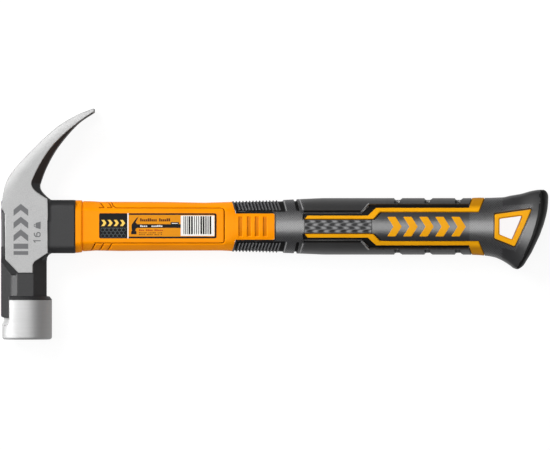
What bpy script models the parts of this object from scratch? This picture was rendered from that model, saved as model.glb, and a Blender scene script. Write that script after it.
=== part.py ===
"""Claw hammer, 16 oz: forged head, fibreglass core, orange jacket under a black rubber grip.

Lengths below are millimetres in the hammer's own axes: x along the handle with zero on the
striking ring's axis, y across it with the claw up and the striking face down, z through it.
The finished hammer lies on its side, its box centred over the world origin.
"""

import math

import bmesh
import bpy
from mathutils import Vector

for old in list(bpy.data.objects):
    bpy.data.objects.remove(old, do_unlink=True)

MM = 0.001
SHIFT_X = -144.05
SHIFT_Y = -1.5
SHIFT_Z = 14.5
GAP = 0.3                 # air left between pieces that touch on the real tool

RING_RADIUS = 14.5
FACE_Y = -65.6            # striking face
RING_BACK_Y = -40.5
NOTCH_X = -10.15          # flat cut in the ring for the nail rail
NOTCH_END_Y = -57.4
NAIL_SLOT = 4.0
NECK_APOTHEM = 11.35
NECK_X = -0.65            # the neck's octagon sits a little towards the top of the head
NECK_EXTRA = 0.7          # and is this much wider towards the handle
CHEEK_X = 12.47
CHEEK_Z = 12.1
TOP_X = -14.67
CLAW_Z_ROOT = 11.9
CLAW_Z_TIP = 13.9
CLAW_BEVEL = 4.4          # how far the painted inner side falls away across the claw
SKIRT_END_X = 28.2
RAIL_TOP_X = -15.1
NAIL_GROOVE_X = -12.6     # floor of the groove that the nail lies in
MAGNET_RADIUS = 3.0
MAGNET_THICK = 3.0
MAGNET_Y = -36.0

CORE_Y = 10.5
CORE_Z = 6.25
CORE_START_X = -11.5
CORE_END_X = 264.0
EYE_TOP = (12.5, 9.1)
EYE_WAIST = (11.9, 7.9)
EYE_FOOT = (12.5, 8.6)
EPOXY_TOP_X = -14.0

PANEL_Y = 3.7
PANEL_START_X = 161.4
PANEL_END_X = 200.2
LABEL = (42.0, 110.2, -6.8, 7.8)
GRIP_START_X = 119.0
BODY_END_X = 287.0         # end of the jacket inside the butt of the grip
BUTT_END_X = 302.8
BUTT_START_X = 268.0       # from here on the sections lean over with the slanted end of the butt
EDGE_ROUND = 1.7           # height of the rounded edge of the grip
CROWN = 2.2                # power of the crown across the grip
RELIEF = 0.8               # depth of the channels and grooves in the grip
PANEL_GROOVE = 0.5         # depth of the fine grooves in the jacket
THUMB_GROOVES = 12


# ---------------------------------------------------------------- building tools

def material(name, color, metallic, roughness):
    made = bpy.data.materials.new(name)
    made.use_nodes = True
    shader = made.node_tree.nodes["Principled BSDF"]
    shader.inputs["Base Color"].default_value = (*color, 1.0)
    shader.inputs["Metallic"].default_value = metallic
    shader.inputs["Roughness"].default_value = roughness
    made.diffuse_color = (*color, 1.0)
    return made


def world(x, y, z):
    return Vector(((x + SHIFT_X) * MM, (y + SHIFT_Y) * MM, (z + SHIFT_Z) * MM))


def make_object(name, verts, faces, smooth=False):
    mesh = bpy.data.meshes.new(name)
    bm = bmesh.new()
    made = [bm.verts.new(world(*v)) for v in verts]
    for face in faces:
        bm.faces.new([made[i] for i in face])
    bmesh.ops.recalc_face_normals(bm, faces=bm.faces)
    for face in bm.faces:
        face.smooth = smooth
    bm.to_mesh(mesh)
    bm.free()
    obj = bpy.data.objects.new(name, mesh)
    bpy.context.scene.collection.objects.link(obj)
    return obj


def loft(name, rings, smooth=False):
    """Skin a run of rings that have the same number of points, closed with a cap at each end."""
    count = len(rings[0])
    verts = [point for ring in rings for point in ring]
    faces = []
    for i in range(len(rings) - 1):
        for j in range(count):
            k = (j + 1) % count
            faces.append((i * count + j, i * count + k, (i + 1) * count + k, (i + 1) * count + j))
    last = (len(rings) - 1) * count
    faces.append(tuple(range(count)))
    faces.append(tuple(last + j for j in range(count)))
    return make_object(name, verts, faces, smooth)


def plate(name, outline, z0, z1):
    """An outline in x and y, pulled through from z0 to z1."""
    return loft(name, [[(x, y, z0) for x, y in outline], [(x, y, z1) for x, y in outline]])


def box(name, x0, x1, y0, y1, z0, z1):
    return plate(name, [(x0, y0), (x1, y0), (x1, y1), (x0, y1)], z0, z1)


def helper(obj):
    obj.hide_render = True
    obj.display_type = "WIRE"
    return obj


def combine(target, tool, operation):
    step = target.modifiers.new(f"{operation.lower()} {tool.name}", "BOOLEAN")
    step.operation = operation
    step.solver = "EXACT"
    step.object = helper(tool)


def cut(target, tool):
    combine(target, tool, "DIFFERENCE")


def join(target, tool):
    combine(target, tool, "UNION")


def keep_common(target, tool):
    combine(target, tool, "INTERSECT")


def bezier(p0, p1, p2, p3, steps):
    curve = []
    for i in range(steps + 1):
        t = i / steps
        a, b, c, d = (1 - t) ** 3, 3 * t * (1 - t) ** 2, 3 * t * t * (1 - t), t ** 3
        curve.append(tuple(a * p0[n] + b * p1[n] + c * p2[n] + d * p3[n] for n in range(2)))
    return curve


def through(points, steps):
    """A smooth curve through a few points."""
    curve = [points[0]]
    for i in range(len(points) - 1):
        before = points[max(i - 1, 0)]
        start, end = points[i], points[i + 1]
        after = points[min(i + 2, len(points) - 1)]
        out = tuple(start[n] + (end[n] - before[n]) / 6 for n in range(2))
        back = tuple(end[n] - (after[n] - start[n]) / 6 for n in range(2))
        curve += bezier(start, out, back, end, steps)[1:]
    return curve


def blend(stations, x):
    """Values between the stations either side of x; each station is x followed by its values."""
    if x <= stations[0][0]:
        return stations[0][1:]
    for low, high in zip(stations, stations[1:]):
        if x <= high[0]:
            t = (x - low[0]) / (high[0] - low[0])
            return tuple(low[n] + (high[n] - low[n]) * t for n in range(1, len(low)))
    return stations[-1][1:]


def grown(outline, by):
    """The outline moved outward by a distance, corners kept sharp."""
    area = sum(a[0] * b[1] - b[0] * a[1] for a, b in zip(outline, outline[1:] + outline[:1]))
    side = 1 if area > 0 else -1
    moved = []
    count = len(outline)
    for i in range(count):
        before, here, after = (Vector(outline[(i + k) % count]) for k in (-1, 0, 1))
        into = (here - before).normalized()
        away = (after - here).normalized()
        n1 = Vector((into.y, -into.x)) * side
        n2 = Vector((away.y, -away.x)) * side
        corner = here + (n1 + n2) * (by / (1 + n1.dot(n2)))
        moved.append((corner.x, corner.y))
    return moved


def rounded(outline, radii, steps=3):
    """Replace each corner by an arc-like curve that leaves the edges at the given distance."""
    made = []
    count = len(outline)
    for i in range(count):
        before, here, after = (Vector(outline[(i + k) % count]) for k in (-1, 0, 1))
        reach = radii[i] if isinstance(radii, (list, tuple)) else radii
        if reach <= 0:
            made.append((here.x, here.y))
            continue
        start = here + (before - here).normalized() * reach
        end = here + (after - here).normalized() * reach
        for k in range(steps + 1):
            t = k / steps
            p = start * (1 - t) ** 2 + here * 2 * t * (1 - t) + end * t * t
            made.append((p.x, p.y))
    return made


def along_x(section, x):
    return [(x, y, z) for y, z in section]


def slab(half_y, half_z, reach, steps=3):
    """A rounded rectangle across the handle."""
    corners = [(half_y, half_z), (-half_y, half_z), (-half_y, -half_z), (half_y, -half_z)]
    return rounded(corners, reach, steps)


def stroke(path, width):
    """The outline of a line of the given width drawn along an open path."""
    points = [Vector(p) for p in path]
    left, right = [], []
    for i, here in enumerate(points):
        into = (here - points[i - 1]).normalized() if i else (points[1] - here).normalized()
        away = (points[i + 1] - here).normalized() if i + 1 < len(points) else into
        n1, n2 = Vector((-into.y, into.x)), Vector((-away.y, away.x))
        side = (n1 + n2) * (width / 2 / (1 + n1.dot(n2)))
        left.append((here.x + side.x, here.y + side.y))
        right.append((here.x - side.x, here.y - side.y))
    return left + right[::-1]


def oval(top, bottom, thick, side):
    """A grip section: crowned front and back that run into rounded edges."""
    quarters = []
    for high in (top, -bottom):
        run = high - EDGE_ROUND
        drop = (thick - side) / (1 + CROWN * EDGE_ROUND / run)
        lean = drop * CROWN / run
        points = [(run * share, thick - drop * share ** CROWN) for share in (0.0, 0.3, 0.5, 0.68, 0.84, 1.0)]
        for t in (0.35, 0.7, 1.0):
            foot = (side + lean * EDGE_ROUND) * (1 - t) ** 2 + side * 2 * t * (1 - t)
            foot += (side - EDGE_ROUND * 1.2) * t * t
            points.append((run + EDGE_ROUND * (1 - (1 - t) ** 2), foot))
        quarters.append(points)
    upper, lower = quarters
    section = upper + [(y, -z) for y, z in reversed(upper)]
    section += [(-y, -z) for y, z in lower[1:]] + [(-y, z) for y, z in reversed(lower[1:])]
    return section


def octagon(top, bottom, thick, shoulder, side, reach, steps=2, grow=0.0):
    """A handle section: flat front and back, flat edges, a chamfer at each corner."""
    corners = [
        (top - shoulder, thick), (bottom + shoulder, thick), (bottom, side), (bottom, -side),
        (bottom + shoulder, -thick), (top - shoulder, -thick), (top, -side), (top, side),
    ]
    return rounded(grown(corners, grow), reach, steps)


# ---------------------------------------------------------------- materials

head_steel = material("head_steel", (0.42, 0.42, 0.43), 1.0, 0.35)
magnet_nickel = material("magnet_nickel", (0.62, 0.62, 0.64), 1.0, 0.25)
epoxy = material("epoxy", (0.42, 0.31, 0.12), 0.0, 0.4)
fibreglass = material("fibreglass", (0.72, 0.66, 0.42), 0.0, 0.55)
orange_plastic = material("orange_plastic", (1.0, 0.33, 0.0), 0.0, 0.4)
black_rubber = material("black_rubber", (0.025, 0.025, 0.027), 0.0, 0.75)
grey_insert = material("grey_insert", (0.12, 0.12, 0.125), 0.0, 0.5)
label_print = material("label_print", (0.9, 0.35, 0.03), 0.0, 0.45)


# ---------------------------------------------------------------- head

STEPS = 16
claw_outer = through([(TOP_X, 12.0), (-11.0, 27.0), (-0.5, 40.5), (13.3, 54.0), (39.2, 68.6)], 4)
claw_shoulder = through([(2.9, 24.4), (4.1, 29.0), (7.6, 35.7), (17.6, 49.6), (39.2, 66.5)], 4)
claw_inner = through([(7.6, 23.0), (9.0, 28.4), (11.3, 34.2), (19.6, 48.4), (39.2, 66.2)], 4)

claw_rings = []
for step, (outer, shoulder, inner) in enumerate(zip(claw_outer, claw_shoulder, claw_inner)):
    share = step / STEPS
    half = CLAW_Z_ROOT + (CLAW_Z_TIP - CLAW_Z_ROOT) * share
    fall = CLAW_BEVEL * (1 - 0.8 * share)
    claw_rings.append([
        (*outer, half - 1.2), (*outer, 1.2 - half),
        (outer[0] + 0.15 * (shoulder[0] - outer[0]), outer[1] + 0.15 * (shoulder[1] - outer[1]), -half),
        (*shoulder, -half), (*inner, fall - half), (*inner, half - fall), (*shoulder, half),
        (outer[0] + 0.15 * (shoulder[0] - outer[0]), outer[1] + 0.15 * (shoulder[1] - outer[1]), half),
    ])

cheek = plate(
    "head",
    [(TOP_X + 2.2, 18.0), (TOP_X + 2.2, -19.1), (-4.81, -26.9), (3.77, -26.9), (3.77, -22.1),
     (4.64, -20.4), (CHEEK_X, -15.25), (CHEEK_X, 15.8), (8.9, 17.9), (4.9, 20.2), (2.9, 24.6), (-9.0, 25.0)],
    -CHEEK_Z, CHEEK_Z,
)
head = cheek
head.data.materials.append(head_steel)

join(head, loft("claw body", claw_rings))

claw_web = plate(
    "claw root",
    [(-10.0, 4.0), (12.2, 4.0), (13.6, 15.6)] + bezier((13.0, 16.0), (8.8, 19.7), (7.4, 22.6), (7.5, 23.4), 4)
    + [(8.2, 26.4), (-8.0, 26.4)],
    0.4 + CLAW_BEVEL - CLAW_Z_ROOT, CLAW_Z_ROOT - CLAW_BEVEL - 0.4,
)
join(head, claw_web)

top_strip = [(TOP_X, 9.6), (TOP_X + 2.7, 11.7), (0.0, 11.7), (0.0, -11.7), (TOP_X + 2.7, -11.7), (TOP_X, -9.6)]
join(head, loft("head top", [[(x, y, z) for x, z in top_strip] for y in (-17.6, 15.6)]))

flat = NECK_APOTHEM * math.tan(math.pi / 8)
neck_section = [
    (NECK_APOTHEM + NECK_EXTRA, flat - NECK_EXTRA), (flat, NECK_APOTHEM), (-flat, NECK_APOTHEM),
    (-NECK_APOTHEM, flat), (-NECK_APOTHEM, -flat), (-flat, -NECK_APOTHEM), (flat, -NECK_APOTHEM),
    (NECK_APOTHEM + NECK_EXTRA, NECK_EXTRA - flat),
]
join(head, loft("neck", [[(x + NECK_X, y, z) for x, z in neck_section] for y in (-42.5, 0.0)]))

shoulder_wide = [(-14.6, -12.0), (-14.6, -20.2), (-9.0, -27.6), (-4.5, -27.6), (-3.0, -12.0)]
shoulder_narrow = [(-12.2, -12.0), (-12.2, -18.8), (-5.0, -26.6), (-4.5, -26.6), (-3.0, -12.0)]
join(head, loft("lower shoulder", [
    [(x, y, z) for x, y in outline]
    for outline, z in ((shoulder_narrow, -11.4), (shoulder_wide, -10.2), (shoulder_wide, 10.2), (shoulder_narrow, 11.4))
]))

skirt_rings = []
for x, half, thick in ((-8.0, 15.4, 11.5), (12.0, 15.5, 11.5), (SKIRT_END_X - 0.8, 15.2, 11.3), (SKIRT_END_X, 14.8, 10.9)):
    skirt_rings.append(along_x(octagon(half, -half, thick, 4.6, 6.4, 1.6), x))
join(head, loft("eye skirt", skirt_rings, smooth=False))
gusset = [(9.0, -20.0), (11.45, -19.6), (11.6, -18.0), (12.3, -16.7), (13.7, -15.6), (15.0, -13.0), (9.0, -13.0)]
join(head, plate("neck corner", gusset, -6.2, 6.2))

RING_SIDES = 56
ring_rings = []
for y, radius in ((FACE_Y, 13.7), (FACE_Y + 0.8, RING_RADIUS), (-42.4, RING_RADIUS), (RING_BACK_Y, 13.0)):
    ring = []
    for i in range(RING_SIDES):
        turn = 2 * math.pi * i / RING_SIDES
        ring.append((radius * math.cos(turn), y, radius * math.sin(turn)))
    ring_rings.append(ring)
join(head, loft("striking ring", ring_rings, smooth=False))

notch = [(-20.0, -40.0), (NOTCH_X, -40.0)]
notch += bezier((NOTCH_X, NOTCH_END_Y + 3.5), (NOTCH_X, NOTCH_END_Y + 1.2),
                (NOTCH_X - 1.2, NOTCH_END_Y), (NOTCH_X - 3.2, NOTCH_END_Y), 5)
notch += [(-20.0, NOTCH_END_Y)]
cut(head, plate("nail notch", notch, -20.0, 20.0))

rail_side = [(-9.0, -53.2), (RAIL_TOP_X + 1.4, -52.8), (RAIL_TOP_X, -51.4), (RAIL_TOP_X, -18.6),
             (RAIL_TOP_X + 0.9, -16.8), (-9.0, -14.0)]
rail = loft("nail rail", [
    [(x, y, -(5.6 + (x - RAIL_TOP_X) * 0.37)) for x, y in rail_side],
    [(x, y, 5.6 + (x - RAIL_TOP_X) * 0.37) for x, y in rail_side],
])
join(head, rail)

cut(head, box("nail groove", -20.0, NAIL_GROOVE_X, -60.0, -24.0, -NAIL_SLOT / 2, NAIL_SLOT / 2))
cut(head, box("nail slot in ring", -20.0, NOTCH_X - 0.8, -70.0, -50.0, -NAIL_SLOT / 2, NAIL_SLOT / 2))

magnet_hole = []
magnet_body = []
for x in (NAIL_GROOVE_X + MAGNET_THICK + GAP, NAIL_GROOVE_X - 1.0):
    magnet_hole.append([
        (x, MAGNET_Y + (MAGNET_RADIUS + GAP) * math.cos(a), (MAGNET_RADIUS + GAP) * math.sin(a))
        for a in (2 * math.pi * i / 28 for i in range(28))
    ])
for x in (NAIL_GROOVE_X + MAGNET_THICK, NAIL_GROOVE_X):
    magnet_body.append([
        (x, MAGNET_Y + MAGNET_RADIUS * math.cos(a), MAGNET_RADIUS * math.sin(a))
        for a in (2 * math.pi * i / 28 for i in range(28))
    ])
cut(head, loft("magnet hole", magnet_hole))

eye_rings = []
for x, half_y, half_z in ((-20.0, *EYE_TOP), (-13.0, *EYE_TOP), (6.0, *EYE_WAIST), (SKIRT_END_X + 2, *EYE_FOOT)):
    eye_rings.append(along_x(slab(half_y, half_z, 5.5, 4), x))
cut(head, loft("eye", eye_rings))

slot_rings = []
for t, half in ((0.30, 0.9), (0.36, 1.4), (0.6, 2.6), (0.8, 3.7), (1.0, 4.7), (1.12, 5.3)):
    step = t * STEPS
    low = min(int(step), STEPS - 1)
    part = step - low
    o0, o1 = claw_outer[low], claw_outer[low + 1]
    i0, i1 = claw_inner[low], claw_inner[low + 1]
    out = Vector((o0[0] + (o1[0] - o0[0]) * part, o0[1] + (o1[1] - o0[1]) * part))
    inn = Vector((i0[0] + (i1[0] - i0[0]) * part, i0[1] + (i1[1] - i0[1]) * part))
    if t <= 1.0:
        across = (out - inn).normalized()
    out = out + across * 5.0
    inn = inn - across * 5.0
    slot_rings.append([(out.x, out.y, half), (out.x, out.y, -half), (inn.x, inn.y, -half), (inn.x, inn.y, half)])
cut(head, loft("claw slot", slot_rings))

nail_magnet = loft("nail_magnet", magnet_body)
nail_magnet.data.materials.append(magnet_nickel)


# ---------------------------------------------------------------- core and epoxy

core = loft("fibreglass_core", [
    along_x(slab(CORE_Y, CORE_Z, 3.4), CORE_START_X),
    along_x(slab(CORE_Y, CORE_Z, 3.4), CORE_END_X),
])
core.data.materials.append(fibreglass)

epoxy_rings = []
for x, half_y, half_z in ((EPOXY_TOP_X, *EYE_TOP), (-13.0, *EYE_TOP), (6.0, *EYE_WAIST), (SKIRT_END_X - GAP, *EYE_FOOT)):
    epoxy_rings.append(along_x(slab(half_y - GAP, half_z - GAP, 5.3, 4), x))
eye_epoxy = loft("eye_epoxy", epoxy_rings)
eye_epoxy.data.materials.append(epoxy)
cut(eye_epoxy, loft("core room in epoxy", [
    along_x(slab(CORE_Y + GAP, CORE_Z + GAP, 3.6), CORE_START_X - GAP),
    along_x(slab(CORE_Y + GAP, CORE_Z + GAP, 3.6), SKIRT_END_X + 5),
]))


# ---------------------------------------------------------------- handle shapes

# x, top, bottom, half thickness, chamfer across, half width of the edge flat
JACKET = [
    (SKIRT_END_X + 0.3, 14.8, -14.8, 10.9, 5.0, 5.2), (29.0, 15.2, -15.2, 11.2, 5.1, 5.4),
    (32.0, 15.2, -14.9, 11.2, 5.1, 5.4), (33.2, 14.9, -14.4, 10.7, 4.8, 5.2), (40.0, 14.6, -14.0, 10.6, 4.6, 5.2),
    (54.0, 14.4, -14.2, 10.5, 4.4, 5.1), (80.0, 14.3, -14.0, 10.5, 4.3, 5.0), (103.0, 13.9, -13.9, 10.5, 4.3, 5.0),
    (117.0, 14.3, -14.1, 10.5, 4.3, 5.0), (119.5, 14.5, -14.2, 10.5, 4.4, 5.0), (121.0, 12.4, -12.2, 9.2, 5.0, 3.6),
    (162.0, 13.2, -12.9, 9.4, 5.5, 3.6), (264.0, 13.4, -13.2, 9.7, 5.6, 3.6),
]
# distance along the handle, top, bottom, half thickness, half width where the rounded edge starts
GRIP = [
    (GRIP_START_X, 14.6, -14.3, 10.9, 5.0), (121.0, 14.9, -14.6, 11.2, 5.0), (134.0, 15.2, -14.8, 11.8, 4.9),
    (147.0, 15.4, -15.1, 12.1, 4.8), (158.0, 16.0, -15.7, 12.4, 4.7), (172.0, 16.6, -16.3, 12.7, 4.6),
    (215.0, 16.6, -16.3, 12.75, 4.6), (257.0, 16.6, -16.35, 12.8, 4.6), (263.0, 16.9, -16.6, 12.9, 4.9),
    (268.0, 16.7, -17.0, 13.0, 5.1), (275.2, 16.9, -18.1, 13.2, 5.7), (281.7, 18.1, -19.9, 13.6, 6.4),
    (288.4, 19.3, -22.1, 13.95, 7.3), (295.2, 21.2, -24.2, 14.3, 8.2), (298.5, 21.4, -24.7, 14.5, 8.6),
]
# rounding of the butt: distance along the handle, what is left of the thickness, what the top and bottom lose
BUTT_ROUND = [(300.8, 0.91, 0.4, 0.3), (302.1, 0.71, 1.4, 0.9), (302.9, 0.42, 2.8, 1.8), (303.2, 0.04, 3.4, 2.2)]
# the slanted end of the butt: y, x
END_CURVE = [
    (-24.5, 286.5), (-22.2, 288.6), (-15.1, 293.0), (-5.3, 297.7), (1.5, 300.2), (7.0, 301.7), (14.0, 302.7), (18.0, 302.8),
]

# outlines of what comes up through the grip, x and y
LINE = [
    (161.3, 4.3), (163.0, 6.55), (198.0, 6.55), (202.8, 11.0), (256.7, 11.0), (258.8, 19.0), (266.4, 19.0),
    (262.3, 8.5), (205.2, 8.5), (201.4, 4.3),
]
TONGUE = rounded([(112.0, 7.5), (143.7, 7.5), (143.7, -7.5), (112.0, -7.5)], [0, 1.2, 1.2, 0])
FRAME = rounded([(271.5, 7.3), (293.2, 10.3), (283.3, -11.8), (271.4, -7.0)], [1.0, 1.2, 1.0, 0.9])
HANG_HOLE = rounded([(274.4, 4.6), (287.9, 6.4), (281.9, -7.7), (274.4, -4.6)], [0.8, 1.2, 1.0, 0.8])
MARKS = []
for mark in range(5):
    left = 209.3 + mark * 9.3
    MARKS.append([(left, 5.6), (left + 4.8, 5.6), (left + 8.4, 0.0), (left + 4.8, -5.6), (left, -5.6), (left + 3.6, 0.0)])

# sunk outlines in the grip: the channel beside each raised line, and the slanting groove before the rail
CHANNEL = [
    (159.9, 3.4), (160.9, 9.3), (193.9, 9.3), (198.3, 13.05), (257.4, 13.05), (258.4, 10.0), (206.0, 7.4), (202.0, 3.4),
]
SLANT = [(154.6, 22.0), (155.2, 16.5), (156.9, 9.0), (158.2, 9.0), (156.5, 16.5), (156.0, 22.0)]
# fine grooves in the jacket
PANEL_LINES = [
    [(48.6, 16.5), (50.3, 12.3), (51.9, 11.1), (112.4, 11.1), (114.8, 8.7), (114.8, -7.8), (113.0, -9.8), (40.0, -9.8),
     (36.6, -16.5)],
    [(41.0, 17.0), (44.9, 11.3), (41.9, 11.3)], [(46.1, 17.0), (49.3, 11.9), (46.9, 11.9)],
    [(44.6, -10.6), (41.2, -16.5)], [(49.4, -10.6), (46.0, -16.5)],
]


def mirrored(outline):
    return [(x, -y) for x, y in reversed(outline)]


def jacket_body(name, grow=0.0, start=None, end=None):
    """The plain jacket; grown by the gap, it is also the room it needs inside the grip."""
    rings = []
    for x, *values in JACKET:
        if start is None or x > start:
            rings.append(along_x(octagon(*values, 0.9, 2, grow), x))
    if start is not None:
        rings.insert(0, along_x(octagon(*blend(JACKET, start), 0.9, 2, grow), start))
    rings.append(along_x(octagon(*JACKET[-1][1:], 0.9, 2, grow), end + grow))
    return loft(name, rings)


def leaning(section, x):
    """A section set along the handle, leaning with the slanted end of the butt."""
    share = max(0.0, min(1.0, (x - BUTT_START_X) / (BUTT_END_X - BUTT_START_X)))
    return [(x + (blend(END_CURVE, y)[0] - BUTT_END_X) * share, y, z) for y, z in section]


def grip_body(name, out=0.0):
    """The outside of the grip, its butt slanted and rounded off."""
    rings = []
    for x, top, bottom, thick, side in GRIP:
        rings.append(leaning(oval(top + out, bottom - out, thick + out, side), x))
    top, bottom, thick, side = GRIP[-1][1:]
    for x, share, top_loss, bottom_loss in BUTT_ROUND:
        section = oval(top + out - top_loss, bottom - out + bottom_loss, thick + out, side)
        rings.append(leaning([(y, z * share) for y, z in section], x + out))
    return loft(name, rings)


# ---------------------------------------------------------------- orange jacket

raised = plate("upper line", LINE, -18.0, 18.0)
join(raised, plate("lower line", mirrored(LINE), -18.0, 18.0))
join(raised, plate("tongue", TONGUE, -18.0, 18.0))
join(raised, plate("hang hole frame", FRAME, -18.0, 18.0))
for number, mark in enumerate(MARKS):
    join(raised, plate(f"grip mark {number}", mark, -18.0, 18.0))
keep_common(raised, grip_body("skin of the raised lines"))

jacket = jacket_body("jacket", end=BODY_END_X)
jacket.data.materials.append(orange_plastic)
join(jacket, raised)
cut(jacket, plate("hang hole", HANG_HOLE, -20.0, 20.0))
cut(jacket, loft("core room in jacket", [
    along_x(slab(CORE_Y + GAP, CORE_Z + GAP, 3.6), SKIRT_END_X - 5),
    along_x(slab(CORE_Y + GAP, CORE_Z + GAP, 3.6), CORE_END_X + GAP),
]))

panel_lines = plate("panel line 0", stroke(PANEL_LINES[0], 1.0), -20.0, 20.0)
for number, path in enumerate(PANEL_LINES[1:]):
    join(panel_lines, plate(f"panel line {number + 1}", stroke(path, 1.0), -20.0, 20.0))
cut(panel_lines, jacket_body("floor of the panel lines", -PANEL_GROOVE, end=BODY_END_X))
cut(jacket, panel_lines)

for number, x in enumerate((124.2, 129.1, 133.9, 138.7)):
    for z0, z1 in ((11.0, 15.0), (-15.0, -11.0)):
        place = "front" if z0 > 0 else "back"
        cut(jacket, box(f"tongue slot {number} {place}", x - 1.0, x + 1.0, -6.1, 6.1, z0, z1))


# ---------------------------------------------------------------- rubber grip

room = jacket_body("jacket room in grip", GAP, GRIP_START_X - 4.0, BODY_END_X)
join(room, plate("room for upper line", grown(LINE, GAP), -18.0, 18.0))
join(room, plate("room for lower line", grown(mirrored(LINE), GAP), -18.0, 18.0))
join(room, plate("room for tongue", grown(TONGUE, GAP), -18.0, 18.0))
join(room, plate("room for frame", grown(FRAME, GAP), -18.0, 18.0))
for number, mark in enumerate(MARKS):
    join(room, plate(f"room for mark {number}", grown(mark, GAP), -18.0, 18.0))

grip = grip_body("grip")
grip.data.materials.append(black_rubber)
cut(grip, room)

panel_room = grown([(PANEL_START_X, PANEL_Y), (PANEL_END_X, PANEL_Y),
                    (PANEL_END_X, -PANEL_Y), (PANEL_START_X, -PANEL_Y)], GAP)
cut(grip, plate("front panel pocket", panel_room, 11.3, 16.0))
cut(grip, plate("back panel pocket", panel_room, -16.0, -11.3))

sunk = plate("channel upper", CHANNEL, -20.0, 20.0)
for name, outline in (("channel lower", mirrored(CHANNEL)), ("slant upper", SLANT), ("slant lower", mirrored(SLANT))):
    join(sunk, plate(name, outline, -20.0, 20.0))
cut(sunk, grip_body("floor of the channels", -RELIEF))
cut(grip, sunk)

for side in (1, -1):
    place = "upper" if side == 1 else "lower"
    for number in range(3):
        x = 213.6 + number * 17.65
        edge_notch = [(x - 0.2, 15.5), (x + 3.4, 15.5), (x + 4.8, 18.0), (x - 0.2, 18.0)]
        pocket = [(x, 13.05), (x + 3.0, 13.05), (x + 3.2, 15.9), (x, 15.9)]
        if side == -1:
            edge_notch, pocket = mirrored(edge_notch), mirrored(pocket)
        cut(grip, plate(f"rail notch {number} {place}", edge_notch, -20.0, 20.0))
        cut(grip, plate(f"rail pocket {number} {place} front", pocket, 5.9, 20.0))
        cut(grip, plate(f"rail pocket {number} {place} back", pocket, -20.0, -5.9))

for side in (1, -1):
    place = "upper" if side == 1 else "lower"
    for number in range(THUMB_GROOVES):
        x = 123.1 + number * 1.95
        high = blend(GRIP, x)[0 if side == 1 else 1] * side
        arch = [
            (9.4, 9.0), (high - 1.7, 5.9), (high - 0.55, 3.0), (high - 0.55, -3.0), (high - 1.7, -5.9), (9.4, -9.0),
            (9.4, -16.0), (20.0, -16.0), (20.0, 16.0), (9.4, 16.0),
        ]
        lean = 2.3 / 6.3
        rings = [[(x + wide + (15.6 - y) * lean, y * side, z) for y, z in arch] for wide in (0.0, 0.9)]
        cut(grip, loft(f"thumb groove {number} {place}", rings))


# ---------------------------------------------------------------- inserts and label

def panel(name, z0, z1):
    made = plate(name, [(PANEL_START_X, PANEL_Y), (PANEL_END_X, PANEL_Y),
                        (PANEL_END_X, -PANEL_Y), (PANEL_START_X, -PANEL_Y)], z0, z1)
    made.data.materials.append(grey_insert)
    return made


panel("texture_panel_front", 11.6, 12.3)
panel("texture_panel_back", -12.3, -11.6)

x0, x1, y0, y1 = LABEL
label = plate("label", rounded([(x0, y0), (x1, y0), (x1, y1), (x0, y1)], [0.4, 1.2, 1.2, 0.4]), 10.9, 11.05)
label.data.materials.append(label_print)
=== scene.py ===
import math

import bmesh
import bpy
import numpy as np
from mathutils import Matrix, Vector
from mathutils.geometry import delaunay_2d_cdt


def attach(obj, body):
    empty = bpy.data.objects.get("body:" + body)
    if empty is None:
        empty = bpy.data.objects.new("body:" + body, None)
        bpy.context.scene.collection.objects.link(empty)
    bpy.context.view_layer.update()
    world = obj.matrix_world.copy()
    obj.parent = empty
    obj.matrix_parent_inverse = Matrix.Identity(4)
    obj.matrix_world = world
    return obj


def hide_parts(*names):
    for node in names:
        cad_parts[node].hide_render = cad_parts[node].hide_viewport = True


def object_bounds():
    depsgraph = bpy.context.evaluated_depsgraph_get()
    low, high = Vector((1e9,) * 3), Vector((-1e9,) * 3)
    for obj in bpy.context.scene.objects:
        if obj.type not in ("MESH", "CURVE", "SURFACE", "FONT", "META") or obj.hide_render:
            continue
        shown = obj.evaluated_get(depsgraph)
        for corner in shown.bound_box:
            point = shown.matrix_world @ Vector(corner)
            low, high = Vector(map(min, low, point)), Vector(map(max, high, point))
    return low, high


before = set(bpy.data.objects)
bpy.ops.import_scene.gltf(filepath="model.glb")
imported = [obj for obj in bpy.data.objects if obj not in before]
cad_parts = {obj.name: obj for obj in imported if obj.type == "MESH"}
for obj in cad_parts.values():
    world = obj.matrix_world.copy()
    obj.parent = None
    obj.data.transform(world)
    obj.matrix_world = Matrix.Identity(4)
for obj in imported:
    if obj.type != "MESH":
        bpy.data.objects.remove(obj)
cad_box = [list(corner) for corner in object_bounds()]

# Millimetres in the hammer's own axes: x along the handle from the striking ring's axis,
# y across it with the claw up, z through it. The box's low corner ties them to the frame.
LOW = np.array(cad_box[0]) * 1000 + np.array([15.1, 65.6, 14.5])


def to_frame(points):
    return (np.asarray(points, float) + LOW) / 1000


def new_piece(name, verts, faces, materials, replaces=(), slot=None, face_slots=None):
    mesh = bpy.data.meshes.new(name)
    mesh.from_pydata(to_frame(verts).tolist(), [], [list(map(int, f)) for f in faces])
    for m in materials:
        mesh.materials.append(m)
    if face_slots is not None:
        mesh.polygons.foreach_set("material_index", np.asarray(face_slots, np.int32))
    mesh.polygons.foreach_set("use_smooth", np.ones(len(mesh.polygons), bool))
    mesh.update()
    obj = bpy.data.objects.new(name, mesh)
    bpy.context.scene.collection.objects.link(obj)
    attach(obj, "root")
    for node in replaces:
        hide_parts(node)
    return obj


def add_float(obj, name, values):
    layer = obj.data.attributes.new(name, "FLOAT", "POINT")
    layer.data.foreach_set("value", np.asarray(values, np.float32))


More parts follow.
